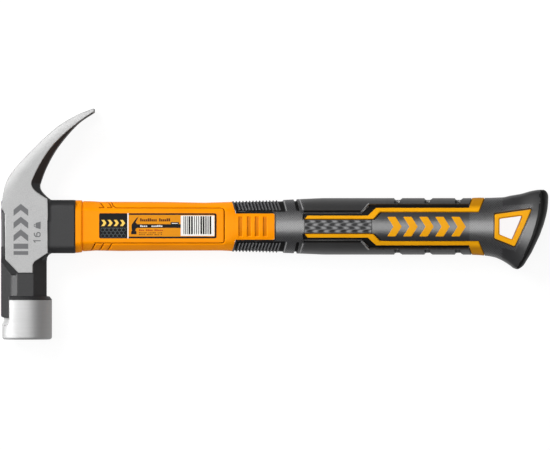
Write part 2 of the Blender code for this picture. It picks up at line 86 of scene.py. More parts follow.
def crease(obj, degrees):
    """Marks open edges and edges that bend more than this as sharp, so that bevels keep crisp ends."""
    bm = bmesh.new()
    bm.from_mesh(obj.data)
    limit = math.radians(degrees)
    for e in bm.edges:
        e.smooth = len(e.link_faces) == 2 and e.calc_face_angle(0) <= limit
    bm.to_mesh(obj.data)
    bm.free()


# ---------------------------------------------------------------- 2-D shapes

def bezier(p0, p1, p2, p3, steps=12):
    t = np.linspace(0, 1, steps + 1)[:, None]
    p0, p1, p2, p3 = (np.array(p, float) for p in (p0, p1, p2, p3))
    return (1 - t) ** 3 * p0 + 3 * t * (1 - t) ** 2 * p1 + 3 * t * t * (1 - t) * p2 + t ** 3 * p3


def through(points, steps=8):
    p = np.array(points, float)
    made = [p[:1]]
    for i in range(len(p) - 1):
        a, b, c, d = p[max(i - 1, 0)], p[i], p[i + 1], p[min(i + 2, len(p) - 1)]
        made.append(bezier(b, b + (c - a) / 6, c - (d - b) / 6, c, steps)[1:])
    return np.vstack(made)


def rounded(corners, reach, steps=4):
    p = np.array(corners, float)
    reach = np.broadcast_to(reach, len(p))
    made = []
    for i in range(len(p)):
        here, before, after = p[i], p[i - 1], p[(i + 1) % len(p)]
        if reach[i] <= 0:
            made.append(here[None])
            continue
        a = here + (before - here) / np.linalg.norm(before - here) * reach[i]
        b = here + (after - here) / np.linalg.norm(after - here) * reach[i]
        t = np.linspace(0, 1, steps + 1)[:, None]
        made.append(a * (1 - t) ** 2 + here * 2 * t * (1 - t) + b * t * t)
    return np.vstack(made)


def grown(outline, by):
    p = np.array(outline, float)
    nxt, prv = np.roll(p, -1, 0), np.roll(p, 1, 0)
    side = 1 if np.sum(p[:, 0] * nxt[:, 1] - nxt[:, 0] * p[:, 1]) > 0 else -1
    e0, e1 = p - prv, nxt - p
    e0 /= np.linalg.norm(e0, axis=1)[:, None]
    e1 /= np.linalg.norm(e1, axis=1)[:, None]
    n0 = np.stack([e0[:, 1], -e0[:, 0]], 1) * side
    n1 = np.stack([e1[:, 1], -e1[:, 0]], 1) * side
    return p + (n0 + n1) * (by / (1 + np.sum(n0 * n1, 1)))[:, None]


def stroke(path, width):
    """The outline of a line of the given width drawn along an open path."""
    p = np.array(path, float)
    d = np.diff(p, axis=0)
    d /= np.linalg.norm(d, axis=1)[:, None]
    n = np.stack([-d[:, 1], d[:, 0]], 1)
    n0, n1 = np.vstack([n[:1], n]), np.vstack([n, n[-1:]])
    off = (n0 + n1) * (width / 2 / (1 + np.sum(n0 * n1, 1)))[:, None]
    return np.vstack([p + off, (p - off)[::-1]])


def rounded_path(start, corner, end, steps=4):
    t = np.linspace(0, 1, steps + 1)[:, None]
    a, b, c = (np.array(p, float) for p in (start, corner, end))
    return a * (1 - t) ** 2 + b * 2 * t * (1 - t) + c * t * t


def flipped(outline):
    return np.array(outline, float)[::-1] * [1, -1]


def inside_distance(outline, x, y):
    """Distance to an outline, positive inside it."""
    p = np.array(outline, float)
    best = np.full(np.broadcast(x, y).shape, 1e9)
    odd = np.zeros(best.shape, bool)
    for a, b in zip(p, np.roll(p, -1, 0)):
        ex, ey = b - a
        wx, wy = x - a[0], y - a[1]
        t = np.clip((wx * ex + wy * ey) / (ex * ex + ey * ey + 1e-12), 0, 1)
        best = np.minimum(best, (wx - ex * t) ** 2 + (wy - ey * t) ** 2)
        if ey != 0:
            odd ^= ((a[1] > y) != (b[1] > y)) & (x < a[0] + (y - a[1]) * ex / ey)
    return np.where(odd, 1, -1) * np.sqrt(best)


def path_distance(path, x, y):
    best = np.full(np.broadcast(x, y).shape, 1e9)
    for a, b in zip(path, path[1:]):
        ex, ey = b - a
        wx, wy = x - a[0], y - a[1]
        t = np.clip((wx * ex + wy * ey) / (ex * ex + ey * ey + 1e-12), 0, 1)
        best = np.minimum(best, (wx - ex * t) ** 2 + (wy - ey * t) ** 2)
    return np.sqrt(best)


# ---------------------------------------------------------------- head: a smooth-blended solid

def smax(a, b, k):
    h = np.clip(k - np.abs(a - b), 0, None) / k
    return np.maximum(a, b) + h * h * k * 0.25


def smin(a, b, k):
    return -smax(-a, -b, k)


def box2(u, v, hu, hv, r):
    qu, qv = np.abs(u) - (hu - r), np.abs(v) - (hv - r)
    return np.hypot(np.maximum(qu, 0), np.maximum(qv, 0)) + np.minimum(np.maximum(qu, qv), 0) - r


# outlines of the head seen from the front, x and y
CLAW_OUT = through([(-14.67, 12), (-11.2, 27), (-0.5, 40.5), (16.1, 56.4), (28.4, 64.2), (39.2, 68.6)])
CLAW_IN = through([(39.2, 66.3), (29.1, 59.2), (18, 46.1), (11.3, 34.2), (7.6, 24.2)])
CLAW_ROOT = bezier((7.6, 24.2), (7.2, 21.6), (8.8, 19.7), (13, 16), 6)
SILVER_IN = through([(39.2, 66.9), (29.1, 59.8), (18, 50.1), (10.6, 40.9), (5.4, 31.6), (2.9, 26)])
SILVER_ROOT = bezier((2.9, 26), (2.2, 22.8), (4.6, 20.4), (12.2, 16.1), 6)
CLAW = np.vstack([CLAW_OUT, CLAW_IN, CLAW_ROOT[1:], [(13.5, 4), (-14.67, 4)]])
CHEEK_LOW = [(12.47, -15.25), (4.64, -20.4), (3.77, -22.1), (3.77, -26.9), (-4.81, -26.9),
             (-12.3, -19.1), (-12.47, 7.2), (-13.2, 8.9), (-14.67, 10.4)]
SILVER = np.vstack([CLAW_OUT, SILVER_IN, SILVER_ROOT[1:], CHEEK_LOW])
NOTCH_CURVE = bezier((-10.15, -53.9), (-10.15, -56.2), (-11.35, -57.4), (-13.35, -57.4), 6)
NOTCH = np.vstack([[(-30, -40), (-10.15, -40)], NOTCH_CURVE, [(-30, -57.4)]])
WEB_CURVE = bezier((-13.2, -52), (-13.3, -55.2), (-13.7, -56.4), (-14.6, -56.9), 6)
WEB = np.vstack([[(-9, -52), (-13.2, -52)], WEB_CURVE, [(-14.0, -58.5), (-9, -58.5)]])
RAIL = rounded([(-8, -53.4), (-15.06, -52.6), (-15.06, -17.6), (-13.8, -15.4), (-8, -13)],
               [0, 1.4, 2.2, 2, 0])
CORNER = [(9, -20), (11.4, -19.8), (11.6, -18.0), (12.3, -16.8), (13.7, -15.6), (15, -13), (9, -13)]
SHOULDER_LOW = [(-14.8, -12), (-14.8, -20.4), (-9.0, -28.0), (-4.4, -28.0), (-3, -12)]


RING_RADIUS, RING_MIDDLE, RING_HALF, FACE_Y = 14.5, -53.05, 12.55, -65.6
NECK_HALF, NECK_X, NECK_EXTRA = 11.35, -0.65, 0.7
CHEEK_HALF, CORE_HALF, RAIL_TOP, NAIL_SLOT_HALF = 12.3, 11.7, -15.1, 2.0
DIAGONAL = 0.7071


def claw_half(y):
    """Half the thickness over the prongs, which spread towards the tip."""
    return CHEEK_HALF + 1.8 * np.clip((y - 20) / 48, 0, 1) ** 1.4


def head_field(x, y, z):
    """Negative inside the head. Each line adds or cuts one shape; its last number is the soft edge's size."""
    az = np.abs(z)
    rad = np.hypot(x, z)
    ring = smax(rad - RING_RADIUS, np.abs(y - RING_MIDDLE) - RING_HALF, 0.3)
    ring = smax(ring, ((rad - RING_RADIUS) + (FACE_Y - y) + 0.9) * DIAGONAL, 0.4)
    ring = smax(ring, ((rad - RING_RADIUS) * 1.9 + (y + 42.4) * 1.5) / 2.42, 0.3)
    ring = smax(ring, inside_distance(NOTCH, x, y), 0.6)
    off = np.abs(x - NECK_X)
    octagon = np.maximum(np.maximum(off - np.where(x > 0, NECK_EXTRA, 0.0), az), (off + az) * DIAGONAL)
    neck = smax(octagon - NECK_HALF, np.abs(y + 22) - 20.4, 0.4)
    core = smax(smax(np.abs(x) - 13.2, np.abs(y + 1.5) - 14.0, 1.0), az - CORE_HALF, 0.8)
    core = smax(core, (np.abs(x) * 0.75 + az * 0.66) - 16.6, 0.6)
    top = smax(smax(np.abs(x + 7.3) - 7.4, np.abs(y + 1.5) - 16.4, 0.8), az - 11.75, 0.8)
    top = smax(top, (-x * 0.7 + az * 0.72) - 17.7, 0.5)
    body = smin(smin(neck, core, 1.2), top, 0.6)
    slope = az - 11.4 - 0.4 * ((x + 12.3) * 0.7215 + (y + 19.1) * 0.6928)
    shoulder = smax(-inside_distance(SHOULDER_LOW, x, y), smax(slope * 0.93, az - CORE_HALF, 0.3), 0.4)
    body = smin(body, shoulder, 0.3)

    soft = np.clip(1 - path_distance(CLAW_OUT, x, y) / 6.5, 0, 1) ** 2
    half = claw_half(y) - 1.2 * soft * np.clip((y - 14) / 14, 0, 1)
    fall = np.maximum(-inside_distance(SILVER, x, y), 0)
    side = az - half + 0.3 + np.minimum(fall * 0.95, 5.5)
    claw = smax(-inside_distance(CLAW, x, y), side * 0.75, 0.5)
    body = smin(body, claw, 0.5)
    skirt = smax(box2(y, z, 15.5, 11.4, 3.2), (np.abs(y) * 0.62 + az * 0.78) - 16.6, 1.0)
    skirt = smax(skirt, np.abs(x - 10) - 18.2, 0.8)
    body = smin(body, skirt, 1.6)
    body = smin(body, smax(-inside_distance(CORNER, x, y), az - 6.5, 0.6), 0.4)
    body = smin(body, ring, 0.25)
    cheek = smax(-inside_distance(SILVER, x, y), az - half, 0.3)
    body = smin(body, cheek, 0.05)

    rail = smax(-inside_distance(RAIL, x, y), az - 5.6 - (x - RAIL_TOP) * 0.37, 0.5)
    body = smin(body, rail, 0.5)
    groove = smax(smax(az - NAIL_SLOT_HALF, x + 12.6, 0.6), y + 24, 1.5)
    body = smax(body, -groove, 0.35)
    web = smax(-inside_distance(WEB, x, y), az - 5.0, 0.6)
    body = smin(body, web, 0.4)
    slot = smax(smax(az - NAIL_SLOT_HALF, x + 12.9, 1.2), y + 52, 0.3)
    body = smax(body, -slot, 0.35)
    magnet = smax(np.hypot(y + 36, z) - 3.25, x + 9.4, 0.1)
    body = smax(body, -np.maximum(magnet, -x - 16), 0.25)
    eye_y = np.interp(x, [-13, 6, 28], [12.5, 11.9, 12.5])
    eye_z = np.interp(x, [-13, 6, 28], [9.1, 7.9, 8.6])
    body = smax(body, -box2(y, z, eye_y, eye_z, 5.0), 0.5)
    along = 0.62 * x + 0.78 * y
    vee = np.interp(along, [23, 25, 30, 39, 55, 78], [-3, 0.4, 1.3, 2.5, 3.5, 4.8])
    into = np.clip(1.8 - inside_distance(CLAW, x, y), 0, 1.8)
    into = into * np.clip((x * 0.78 - y * 0.62 + 8) * 0.3, 0, 1)
    body = smax(body, np.where(y > 20, (vee + into * 0.5 - az) * 0.97, -50.0), 0.45)
    return body


def surface_net(field, lo, hi, step):
    """A quad mesh on the zero level of a field, its points then moved exactly onto it."""
    axes = [np.arange(a, b + step, step) for a, b in zip(lo, hi)]
    f = np.broadcast_to(field(axes[0][:, None, None], axes[1][None, :, None], axes[2][None, None, :]),
                        [len(a) for a in axes]).astype(np.float32)
    s = f < 0
    n = np.array(f.shape) - 1
    total = np.zeros((*n, 3), np.float32)
    count = np.zeros(n, np.float32)
    for axis in range(3):
        for i in (0, 1):
            for j in (0, 1):
                lo_s, hi_s = [None] * 3, [None] * 3
                others = [k for k in range(3) if k != axis]
                for k, o in zip(others, (i, j)):
                    lo_s[k] = hi_s[k] = slice(o, o + n[k])
                lo_s[axis], hi_s[axis] = slice(0, n[axis]), slice(1, n[axis] + 1)
                a, b = f[tuple(lo_s)], f[tuple(hi_s)]
                cross = s[tuple(lo_s)] != s[tuple(hi_s)]
                t = np.where(cross, a / np.where(cross, a - b, 1), 0)
                count += cross
                total[..., axis] += t
                for k, o in zip(others, (i, j)):
                    total[..., k] += cross * o
    used = count > 0
    index = np.full(n, -1, np.int64)
    index[used] = np.arange(used.sum())
    cell = np.argwhere(used)
    pts = (cell + total[used] / count[used][:, None]) * step + [a[0] for a in axes]
    faces = []
    for axis in range(3):
        k, m = [o for o in range(3) if o != axis]
        sl = [slice(1, n[o]) for o in range(3)]
        sl[axis] = slice(0, n[axis])
        up = list(sl)
        up[axis] = slice(1, n[axis] + 1)
        a, b = s[tuple(sl)], s[tuple(up)]
        at = np.argwhere(a != b) + [0 if o == axis else 1 for o in range(3)]
        rising = a[a != b]

        def corner(dk, dm):
            c = at.copy()
            c[:, k] -= dk
            c[:, m] -= dm
            return index[c[:, 0], c[:, 1], c[:, 2]]

        quad = np.stack([corner(1, 1), corner(0, 1), corner(0, 0), corner(1, 0)], 1)
        flip = rising if axis != 1 else ~rising
        quad[~flip] = quad[~flip][:, ::-1]
        faces.append(quad)
    faces = np.vstack(faces)

    def slope(p):
        e = 0.04
        g = np.zeros_like(p)
        for o in range(3):
            d = np.zeros(3)
            d[o] = e
            g[:, o] = (field(*(p + d).T) - field(*(p - d).T)) / (2 * e)
        return g

    for _ in range(3):
        g = slope(pts)
        move = (field(*pts.T) / np.maximum((g * g).sum(1), 0.2))[:, None] * g
        pts = pts - np.clip(move, -step * 0.5, step * 0.5)
    g = slope(pts)
    return pts, faces, g / np.linalg.norm(g, axis=1)[:, None]


# ---------------------------------------------------------------- materials

def tree(name):
    m = bpy.data.materials.new(name)
    m.use_nodes = True
    return m, m.node_tree.nodes, m.node_tree.links, m.node_tree.nodes["Principled BSDF"]


class Shade:
    """Short-hand for building a node material."""

    def __init__(self, name, **sockets):
        self.mat, self.nodes, self.links, self.out = tree(name)
        for key, value in sockets.items():
            self.out.inputs[key.replace("_", " ")].default_value = value
        self.at = self.nodes.new("ShaderNodeTexCoord").outputs["Object"]

    def node(self, kind, links=None, **settings):
        n = self.nodes.new("ShaderNode" + kind)
        for key, value in settings.items():
            setattr(n, key, value)
        for key, value in (links or {}).items():
            if isinstance(value, bpy.types.NodeSocket):
                self.links.new(value, n.inputs[key])
            else:
                n.inputs[key].default_value = value
        return n

    def noise(self, scale, detail=4, rough=0.55, stretch=None):
        at = self.at
        if stretch:
            at = self.node("Mapping", {"Vector": self.at, "Scale": stretch}).outputs[0]
        made = self.node("TexNoise", {"Vector": at, "Scale": scale, "Detail": detail, "Roughness": rough})
        return made.outputs["Fac"]

    def attribute(self, name):
        return self.node("Attribute", attribute_name=name).outputs["Fac"]

    def span(self, value, a, b, c, d):
        """The value taken from the range a to b into the range c to d."""
        ends = {"From Min": a, "From Max": b, "To Min": c, "To Max": d}
        return self.node("MapRange", {"Value": value, **ends}).outputs[0]

    def math(self, kind, a, b=0.0):
        return self.node("Math", {0: a, 1: b}, operation=kind).outputs[0]

    def between(self, factor, a, b):
        """A value that goes from a to b as the factor goes from 0 to 1."""
        return self.math("ADD", self.math("MULTIPLY", factor, self.math("SUBTRACT", b, a)), a)

    def mix(self, factor, a, b):
        n = self.nodes.new("ShaderNodeMix")
        n.data_type = "RGBA"
        for key, value in ((0, factor), (6, a), (7, b)):
            if isinstance(value, bpy.types.NodeSocket):
                self.links.new(value, n.inputs[key])
            else:
                n.inputs[key].default_value = (*value, 1) if isinstance(value, tuple) else value
        return n.outputs[2]

    def bump(self, height, distance, strength=1.0):
        n = self.node("Bump", {"Height": height, "Distance": distance, "Strength": strength})
        self.links.new(n.outputs[0], self.out.inputs["Normal"])

    def to(self, socket, value):
        self.links.new(value, self.out.inputs[socket])


def steel():
    """Ground and polished steel where 'bright' is positive, dark sprayed paint elsewhere."""
    s = Shade("forged_steel", Specular_IOR_Level=0.35)
    bright = s.span(s.attribute("bright"), -0.05, 0.05, 0, 1)
    polish = s.span(s.attribute("polish"), -0.05, 0.05, 0, 1)
    grain = s.noise(2600, 6, 0.7)
    cloud = s.noise(90, 3)
    brush = s.noise(1500, 3, 0.6, (0.04, 1, 0.04))
    orange_peel = s.noise(1500, 5, 0.7)
    steel_colour = s.mix(s.span(grain, 0.3, 0.7, 0, 1), (0.24, 0.24, 0.24), (0.37, 0.37, 0.37))
    clouded = s.math("MULTIPLY", s.span(cloud, 0.35, 0.65, 0, 1), 0.35)
    steel_colour = s.mix(clouded, steel_colour, (0.41, 0.41, 0.41))
    steel_colour = s.mix(polish, steel_colour, (0.45, 0.45, 0.45))
    paint = s.mix(s.span(orange_peel, 0.3, 0.7, 0, 1), (0.014, 0.014, 0.015), (0.024, 0.024, 0.025))
    s.to("Base Color", s.mix(bright, paint, steel_colour))
    s.to("Metallic", s.math("MULTIPLY", bright, s.span(polish, 0, 1, 0.4, 0.85)))
    ground_rough = s.math("ADD", s.span(grain, 0.3, 0.7, 0.38, 0.50), s.span(cloud, 0.3, 0.7, -0.03, 0.05))
    polish_rough = s.span(brush, 0.3, 0.7, 0.56, 0.66)
    metal_rough = s.between(polish, ground_rough, polish_rough)
    paint_rough = s.span(orange_peel, 0.3, 0.7, 0.42, 0.55)
    s.to("Roughness", s.between(bright, paint_rough, metal_rough))
    pitted = s.math("MULTIPLY", orange_peel, s.span(bright, 0, 1, 1.0, 0.0))
    ground = s.math("ADD", s.math("MULTIPLY", grain, 0.35), s.math("MULTIPLY", brush, 0.25))
    s.bump(s.math("ADD", pitted, s.math("MULTIPLY", ground, s.span(polish, 0, 1, 1.0, 0.3))), 0.00006, 0.6)
    return s.mat


def plastic(name, light, dark, groove, rough, scale=1800, depth=0.00003, shine=0.5, ior=1.5, ends=None):
    """Moulded plastic or rubber. The groove colour is painted shade, mixed in where the surface lies in a
    groove. 'ends' is a painted shade colour that it takes near the two edges of the handle, where the surface
    rolls away from the light."""
    s = Shade(name, Specular_IOR_Level=shine, IOR=ior)
    fine = s.noise(scale, 4, 0.6)
    cloud = s.noise(60, 2)
    colour = s.mix(s.span(cloud, 0.35, 0.65, 0, 1), dark, light)
    # painted shade: the colour turns to 'ends' near the handle's two edges, where the surface rolls away from
    # the light
    if ends:
        y = s.node("SeparateXYZ", {0: s.at}).outputs[1]
        across = s.math("ABSOLUTE", s.math("SUBTRACT", y, LOW[1] / 1000))
        colour = s.mix(s.span(across, 0.0106, 0.0125, 0, 1), colour, ends)
    # painted shade: the groove colour is mixed in where the surface lies in a groove
    s.to("Base Color", s.mix(s.attribute("groove_shade"), colour, groove))
    s.to("Roughness", s.span(fine, 0.3, 0.7, rough - 0.05, rough + 0.07))
    s.bump(fine, depth, 0.5)
    return s.mat


def dotted(name, ground, dot, rough, pitch=0.00143):
    """Rubber with a fine diamond grid of raised dots."""
    s = Shade(name, Specular_IOR_Level=1.0, IOR=1.7)
    split = s.node("SeparateXYZ", {0: s.at})
    wave = [s.math("SINE", s.math("MULTIPLY", split.outputs[i], 2 * math.pi / pitch)) for i in (0, 1)]
    peak = s.span(s.math("MULTIPLY", wave[0], wave[1]), -0.1, 0.7, 0, 1)
    fine = s.noise(2200, 4, 0.6)
    # painted shade: the light dots fade out in grooves, leaving the darker ground
    dots_outside_groove_shade = s.math("MULTIPLY", peak, s.math("SUBTRACT", 1.0, s.attribute("groove_shade")))
    s.to("Base Color", s.mix(dots_outside_groove_shade, ground, dot))
    s.to("Roughness", s.span(fine, 0.3, 0.7, rough - 0.05, rough + 0.08))
    s.bump(s.math("ADD", peak, s.math("MULTIPLY", fine, 0.2)), 0.00005, 0.6)
    return s.mat


def rubber(name, light, dark, groove, rough, shine, ior=1.5):
    # the groove colour is painted shade in the rubber's grooves
    return plastic(name, light, dark, (groove,) * 3, rough, 2400, 0.00002, shine, ior)


ORANGE = plastic("orange_plastic_look", (0.96, 0.30, 0.001), (0.92, 0.28, 0.001), (0.24, 0.05, 0.0), 0.36,
                 shine=0.05)
# the inlay's 'ends' colour is painted shade on the bands near the handle's edges
YELLOW = plastic("orange_inlay_look", (0.86, 0.38, 0.004), (0.80, 0.35, 0.003), (0.2, 0.05, 0.0), 0.4,
                 shine=0.1, ends=(0.46, 0.19, 0.002))
BLACK = rubber("rubber_smooth", (0.010, 0.010, 0.011), (0.007, 0.007, 0.008), 0.002, 0.32, 1.0, 1.6)
RAIL_GREY = rubber("rubber_rail", (0.016, 0.016, 0.017), (0.012, 0.012, 0.012), 0.003, 0.32, 1.0, 1.7)
# painted highlight: pale grey rubber for the crests of the thumb ribs and the ridge, where light catches them
PAINTED_CREST_HIGHLIGHT = rubber("rubber_crest_highlight", (0.15, 0.15, 0.155), (0.12, 0.12, 0.125), 0.05, 0.4, 0.8)
# painted highlight: light grey rubber on the thin raised lips, standing in for light caught on their edges
PAINTED_LIP_HIGHLIGHT = rubber("rubber_lip_highlight", (0.33, 0.33, 0.33), (0.28, 0.28, 0.28), 0.1, 0.4, 0.8)
# matte rubber; its darker near-black colour is partly painted shade for the sunken rib field, slant, channels
# and the rolled butt end
MATTE_SHADE_RUBBER = rubber("rubber_matte_shaded", (0.004, 0.004, 0.004), (0.003, 0.003, 0.003), 0.002, 0.5, 0.25)
DOTS = dotted("rubber_dotted", (0.005, 0.005, 0.006), (0.065, 0.065, 0.068), 0.3)
STEEL = steel()


# ---------------------------------------------------------------- head piece

STEP = 0.42
pts, quads, normals = surface_net(head_field, (-17.2, -66.6, -15.4), (40.2, 69.6, 15.4), STEP)
head = new_piece("head_forging", pts, quads, [STEEL], ["head"], "head_steel")
head.data.normals_split_custom_set_from_vertices(normals.tolist())

# bare steel where the value is positive: cheeks, claw sides and tips, then the ring with its notch
px, py, pz = pts[:, 0], pts[:, 1], np.abs(pts[:, 2])
flat_silver = np.minimum(inside_distance(SILVER, px, py) + 0.05, (np.abs(normals[:, 2]) - 0.2) * 3)
flat_silver = np.minimum(flat_silver, (pz - 10.0) * 3)
flat_silver = np.maximum(flat_silver, np.minimum(px - 38.4, pz - 9))
ring_silver = np.minimum(-42.7 - py, np.maximum(np.hypot(px, pz) - 13.6, -57.0 - py) * 4)
ring_silver = np.where((px < -10.0) & (py < -53.0), 1, ring_silver)
ring_silver = np.where((px < -10.3) & (py > -53.0), -1, ring_silver)
add_float(head, "bright", np.maximum(flat_silver, ring_silver))
add_float(head, "polish", -41.0 - py)


# ---------------------------------------------------------------- handle skin

def profile_curve(stations, soft=1.5):
    """A smooth curve along the handle through the stations (x, value)."""
    xs = np.arange(20, 312, 0.25)
    p = np.array(stations, float)
    ys = np.interp(xs, p[:, 0], p[:, 1])
    k = np.exp(-0.5 * (np.arange(-24, 25) * 0.25 / soft) ** 2)
    ys = np.convolve(np.pad(ys, 24, mode="edge"), k / k.sum(), "valid")
    return lambda x: np.interp(x, xs, ys)


# height above and below the middle, thickness from the middle to the face, width of the sloping shoulder,
# and half thickness left at the edge
TOP = profile_curve([(28, 14.9), (38, 14.8), (42, 14.45), (75, 14.4), (84, 14.3), (93, 14.1), (103, 13.9),
                     (117, 14.3), (120, 14.5), (134, 14.9), (147, 15.1), (158, 15.7), (172, 16.3),
                     (257, 16.3), (263, 16.6), (268, 16.4), (277.7, 16.8), (281, 17.7), (287.7, 18.8),
                     (293, 20.4), (296.8, 21.1), (299.2, 21.15), (310, 21.15)], 0.8)
BOT = profile_curve([(28, 14.9), (33, 14.4), (40, 13.9), (54, 14.2), (66, 14.1), (80, 14.0), (112, 13.9),
                     (117, 14.1), (121, 14.3), (134, 14.5), (144, 14.8), (158, 15.4), (168, 15.8),
                     (172, 16.0), (257, 16.05), (263, 16.3), (270, 17.0), (275.2, 17.8), (281.7, 19.6),
                     (288.4, 21.8), (295.2, 23.9), (299.6, 24.5), (310, 24.5)], 0.8)
THICK = profile_curve([(28, 10.7), (40, 10.6), (75, 10.5), (115, 10.5), (121, 10.9), (134, 11.5), (158, 12.1),
                       (172, 12.4), (257, 12.5), (270, 12.7), (283, 13.4), (293, 13.9), (298, 14.15),
                       (310, 14.2)])
SHOULDER = profile_curve([(28, 4.9), (40, 4.7), (75, 4.3), (115, 4.3), (134, 5.6), (158, 6.8), (172, 7.4),
                          (257, 7.2), (270, 6.8), (283, 6.6), (310, 6.0)])
EDGE = profile_curve([(28, 5.2), (115, 5.0), (172, 4.6), (257, 4.6), (270, 5.2), (283, 6.6), (298, 8.6),
                      (310, 9.2)])
ROLL, ROLL_DEPTH, ROLL_RUN, END = 298.5, 4.3, 10.0, 302.8      # the rolled end of the butt
INSET, WRAP, LEAN, OVAL = 1.7, 3.2, 1.2, 2.2                   # how the face wraps into the edge wall
CORNER_X = 299.5                                               # the butt's corners are drawn in from here
END_X = [(-24.5, 286.5), (-23.7, 287.2), (-22.2, 288.6), (-15.1, 293.0), (-5.3, 297.7), (1.5, 300.2),
         (7, 301.7), (10.3, 302.3), (14, 302.7), (18, 302.8), (22, 302.8)]


def slant(y, u):
    """How far the slanted end of the butt pulls a point back along the handle."""
    p = np.array(END_X)
    return (np.interp(y, p[:, 0], p[:, 1]) - END) * np.clip((u - 268) / (END - 268), 0, 1)


def rolled(u):
    """Where a point on the rolled end lies along the handle, and how much its thickness shrinks."""
    theta = np.clip((u - ROLL) / ROLL_RUN, 0, 1) * (math.pi / 2)
    along = np.where(u > ROLL, ROLL + ROLL_DEPTH * np.sin(theta) ** 0.8, u)
    return along, np.maximum(np.cos(theta), 0) ** 0.7


def half_height(along, upper):
    """From the handle's middle to its upper or lower edge, drawn in at the butt's corners."""
    end_pull = np.clip((along - CORNER_X) / (END - CORNER_X), 0, 1)
    high = np.where(upper, TOP(along), BOT(along))
    return high - np.where(upper, 4.2, 2.6) * (1 - np.sqrt(np.clip(1 - end_pull ** 2, 0, 1)))


def u_of(x, y):
    """The u whose point on the skin lies at x, which the slant has moved."""
    u = np.array(x, float)
    for _ in range(14):
        u = x - slant(y, u)
    return u


def skin(u, q):
    """Point on the upper half of the handle: u runs along it, q from the middle out over the edge."""
    along, squash = rolled(u)
    a = np.abs(q)
    high = half_height(along, q >= 0)
    thick, c, w = THICK(along), SHOULDER(along), EDGE(along)
    m = (thick - w) / c
    e, rb = INSET, 1.3
    y1 = high - e
    sh = high - c
    flat = a - sh
    t = np.clip((flat + rb) / (2 * rb), 0, 1)
    z_front = thick - m * rb * t * t - m * np.maximum(flat - rb, 0)
    oval = np.clip((along - 113) / 13, 0, 1)
    oval = oval * oval * (3 - 2 * oval)
    drop = (thick - w) / (1 + OVAL * e / y1)
    z_front = z_front + (thick - drop * (np.minimum(a, y1) / y1) ** OVAL - z_front) * oval
    m = m + (drop * OVAL / y1 - m) * oval
    g = e * LEAN
    t2 = np.clip((a - y1) / WRAP, 0, 1)
    yb = y1 + e * (1 - (1 - t2) ** 2)
    zb = (w + m * e) * (1 - t2) ** 2 + w * 2 * t2 * (1 - t2) + (w - g) * t2 ** 2
    wall = np.clip(a - y1 - WRAP, 0, None)
    wrapped = a > y1
    y = np.where(wrapped, yb, a)
    z = np.where(wrapped, np.maximum(zb - wall, 0), z_front) * squash
    y = y * np.sign(q + 1e-12)
    return np.stack([along + slant(y, along), y, z], -1)


def edge_q(u, sign):
    """q where the skin meets the hammer's middle plane."""
    along = rolled(u)[0]
    return half_height(along, sign > 0) - INSET * (1 + LEAN) + WRAP + EDGE(along)


# outlines on the skin, x and y
START = 28.3
LINE = [(161.3, 4.3), (163.0, 6.55), (198.0, 6.55), (202.8, 11.0), (256.7, 11.0), (258.6, 16.4),
        (258.9, 40.0), (266.2, 40.0), (265.9, 16.4), (262.4, 8.5), (205.2, 8.5), (201.3, 4.3)]
BLACK_ZONE = [(118.9, 50), (119.2, 14.8), (121.3, 7.6), (143.2, 7.6), (143.9, 6.9), (143.9, -6.9),
              (143.2, -7.6), (121.3, -7.6), (119.2, -14.8), (118.9, -50), (400, -50), (400, 50)]
MOAT = [(121.6, 8.0), (143.6, 8.0), (144.35, 7.2), (144.35, -7.2), (143.6, -8.0), (121.6, -8.0)]
FRAME = rounded([(271.5, 7.3), (293.2, 10.3), (283.3, -11.8), (271.4, -7.0)], [1.0, 1.2, 1.0, 0.9])
HOLE = rounded([(274.4, 4.6), (287.9, 6.4), (281.9, -7.7), (274.4, -4.6)], [0.8, 1.2, 1.0, 0.8])
PANEL = rounded([(161.4, 3.7), (200.2, 3.7), (200.2, -3.7), (161.4, -3.7)], 0.25, 2)
CHANNEL = [(159.9, 3.9), (160.9, 9.3), (193.9, 9.3), (198.3, 13.05), (256.9, 13.05), (258.0, 10.0),
           (206.0, 7.8), (201.9, 3.9)]
RAIL_ZONE = [(160.4, 50), (160.9, 9.4), (193.9, 9.4), (198.3, 13.05), (258.0, 13.05), (259, 50)]
FRONT_DOTS = [(143.0, 60), (143.0, -60), (161.5, -60), (161.5, 60)]
BUTT_DOTS = [(257.0, 8), (262.4, 8.5), (268.9, 60), (282, 60), (276, 12), (294, 13), (284, -14), (276, -12),
             (280, -60), (268.9, -60), (262.4, -8.5), (257.0, -8)]
CHEVRON = np.array([(0, 5.6), (4.8, 5.6), (8.4, 0), (4.8, -5.6), (0, -5.6), (3.6, 0)])
MARKS = [rounded(CHEVRON + [left, 0], 0.35, 2) for left in (209.3, 218.6, 227.9, 237.2, 246.5)]
THUMB_BARS = (124.2, 129.1, 133.7, 138.4)
POCKETS = (213.6, 231.2, 248.9)

GROOVES = [
    np.vstack([[(48.6, 16.5), (50.3, 12.3), (51.9, 11.15)],
               rounded_path((112.4, 11.1), (114.8, 11.1), (114.8, 8.7)),
               rounded_path((114.8, -7.8), (114.8, -9.8), (113.0, -9.8)), [(40.0, -9.8), (36.6, -16.0)]]),
    [(41.0, 17.0), (44.9, 11.3), (41.9, 11.3)], [(46.1, 17.0), (49.5, 11.3), (46.6, 11.3)],
    [(44.9, -9.8), (41.2, -16.0)], [(49.7, -9.8), (46.0, -16.0)],
]

# thin raised edges on the rubber, moulded where one relief ends
RIDGE = [(159.4, 8.05), (194.4, 8.05), (198.6, 12.1)]
SLANT = [(154.3, 45), (154.9, 16.5), (156.6, 9.0), (158.5, 9.0), (156.8, 16.5), (156.3, 45)]
LIPS = [[(158.3, 30), (158.5, 16.0), (160.5, 9.7)], [(194.2, 8.9), (198.7, 13.3)],
        [(149.3, 15.2), (150.9, 9.0)]]

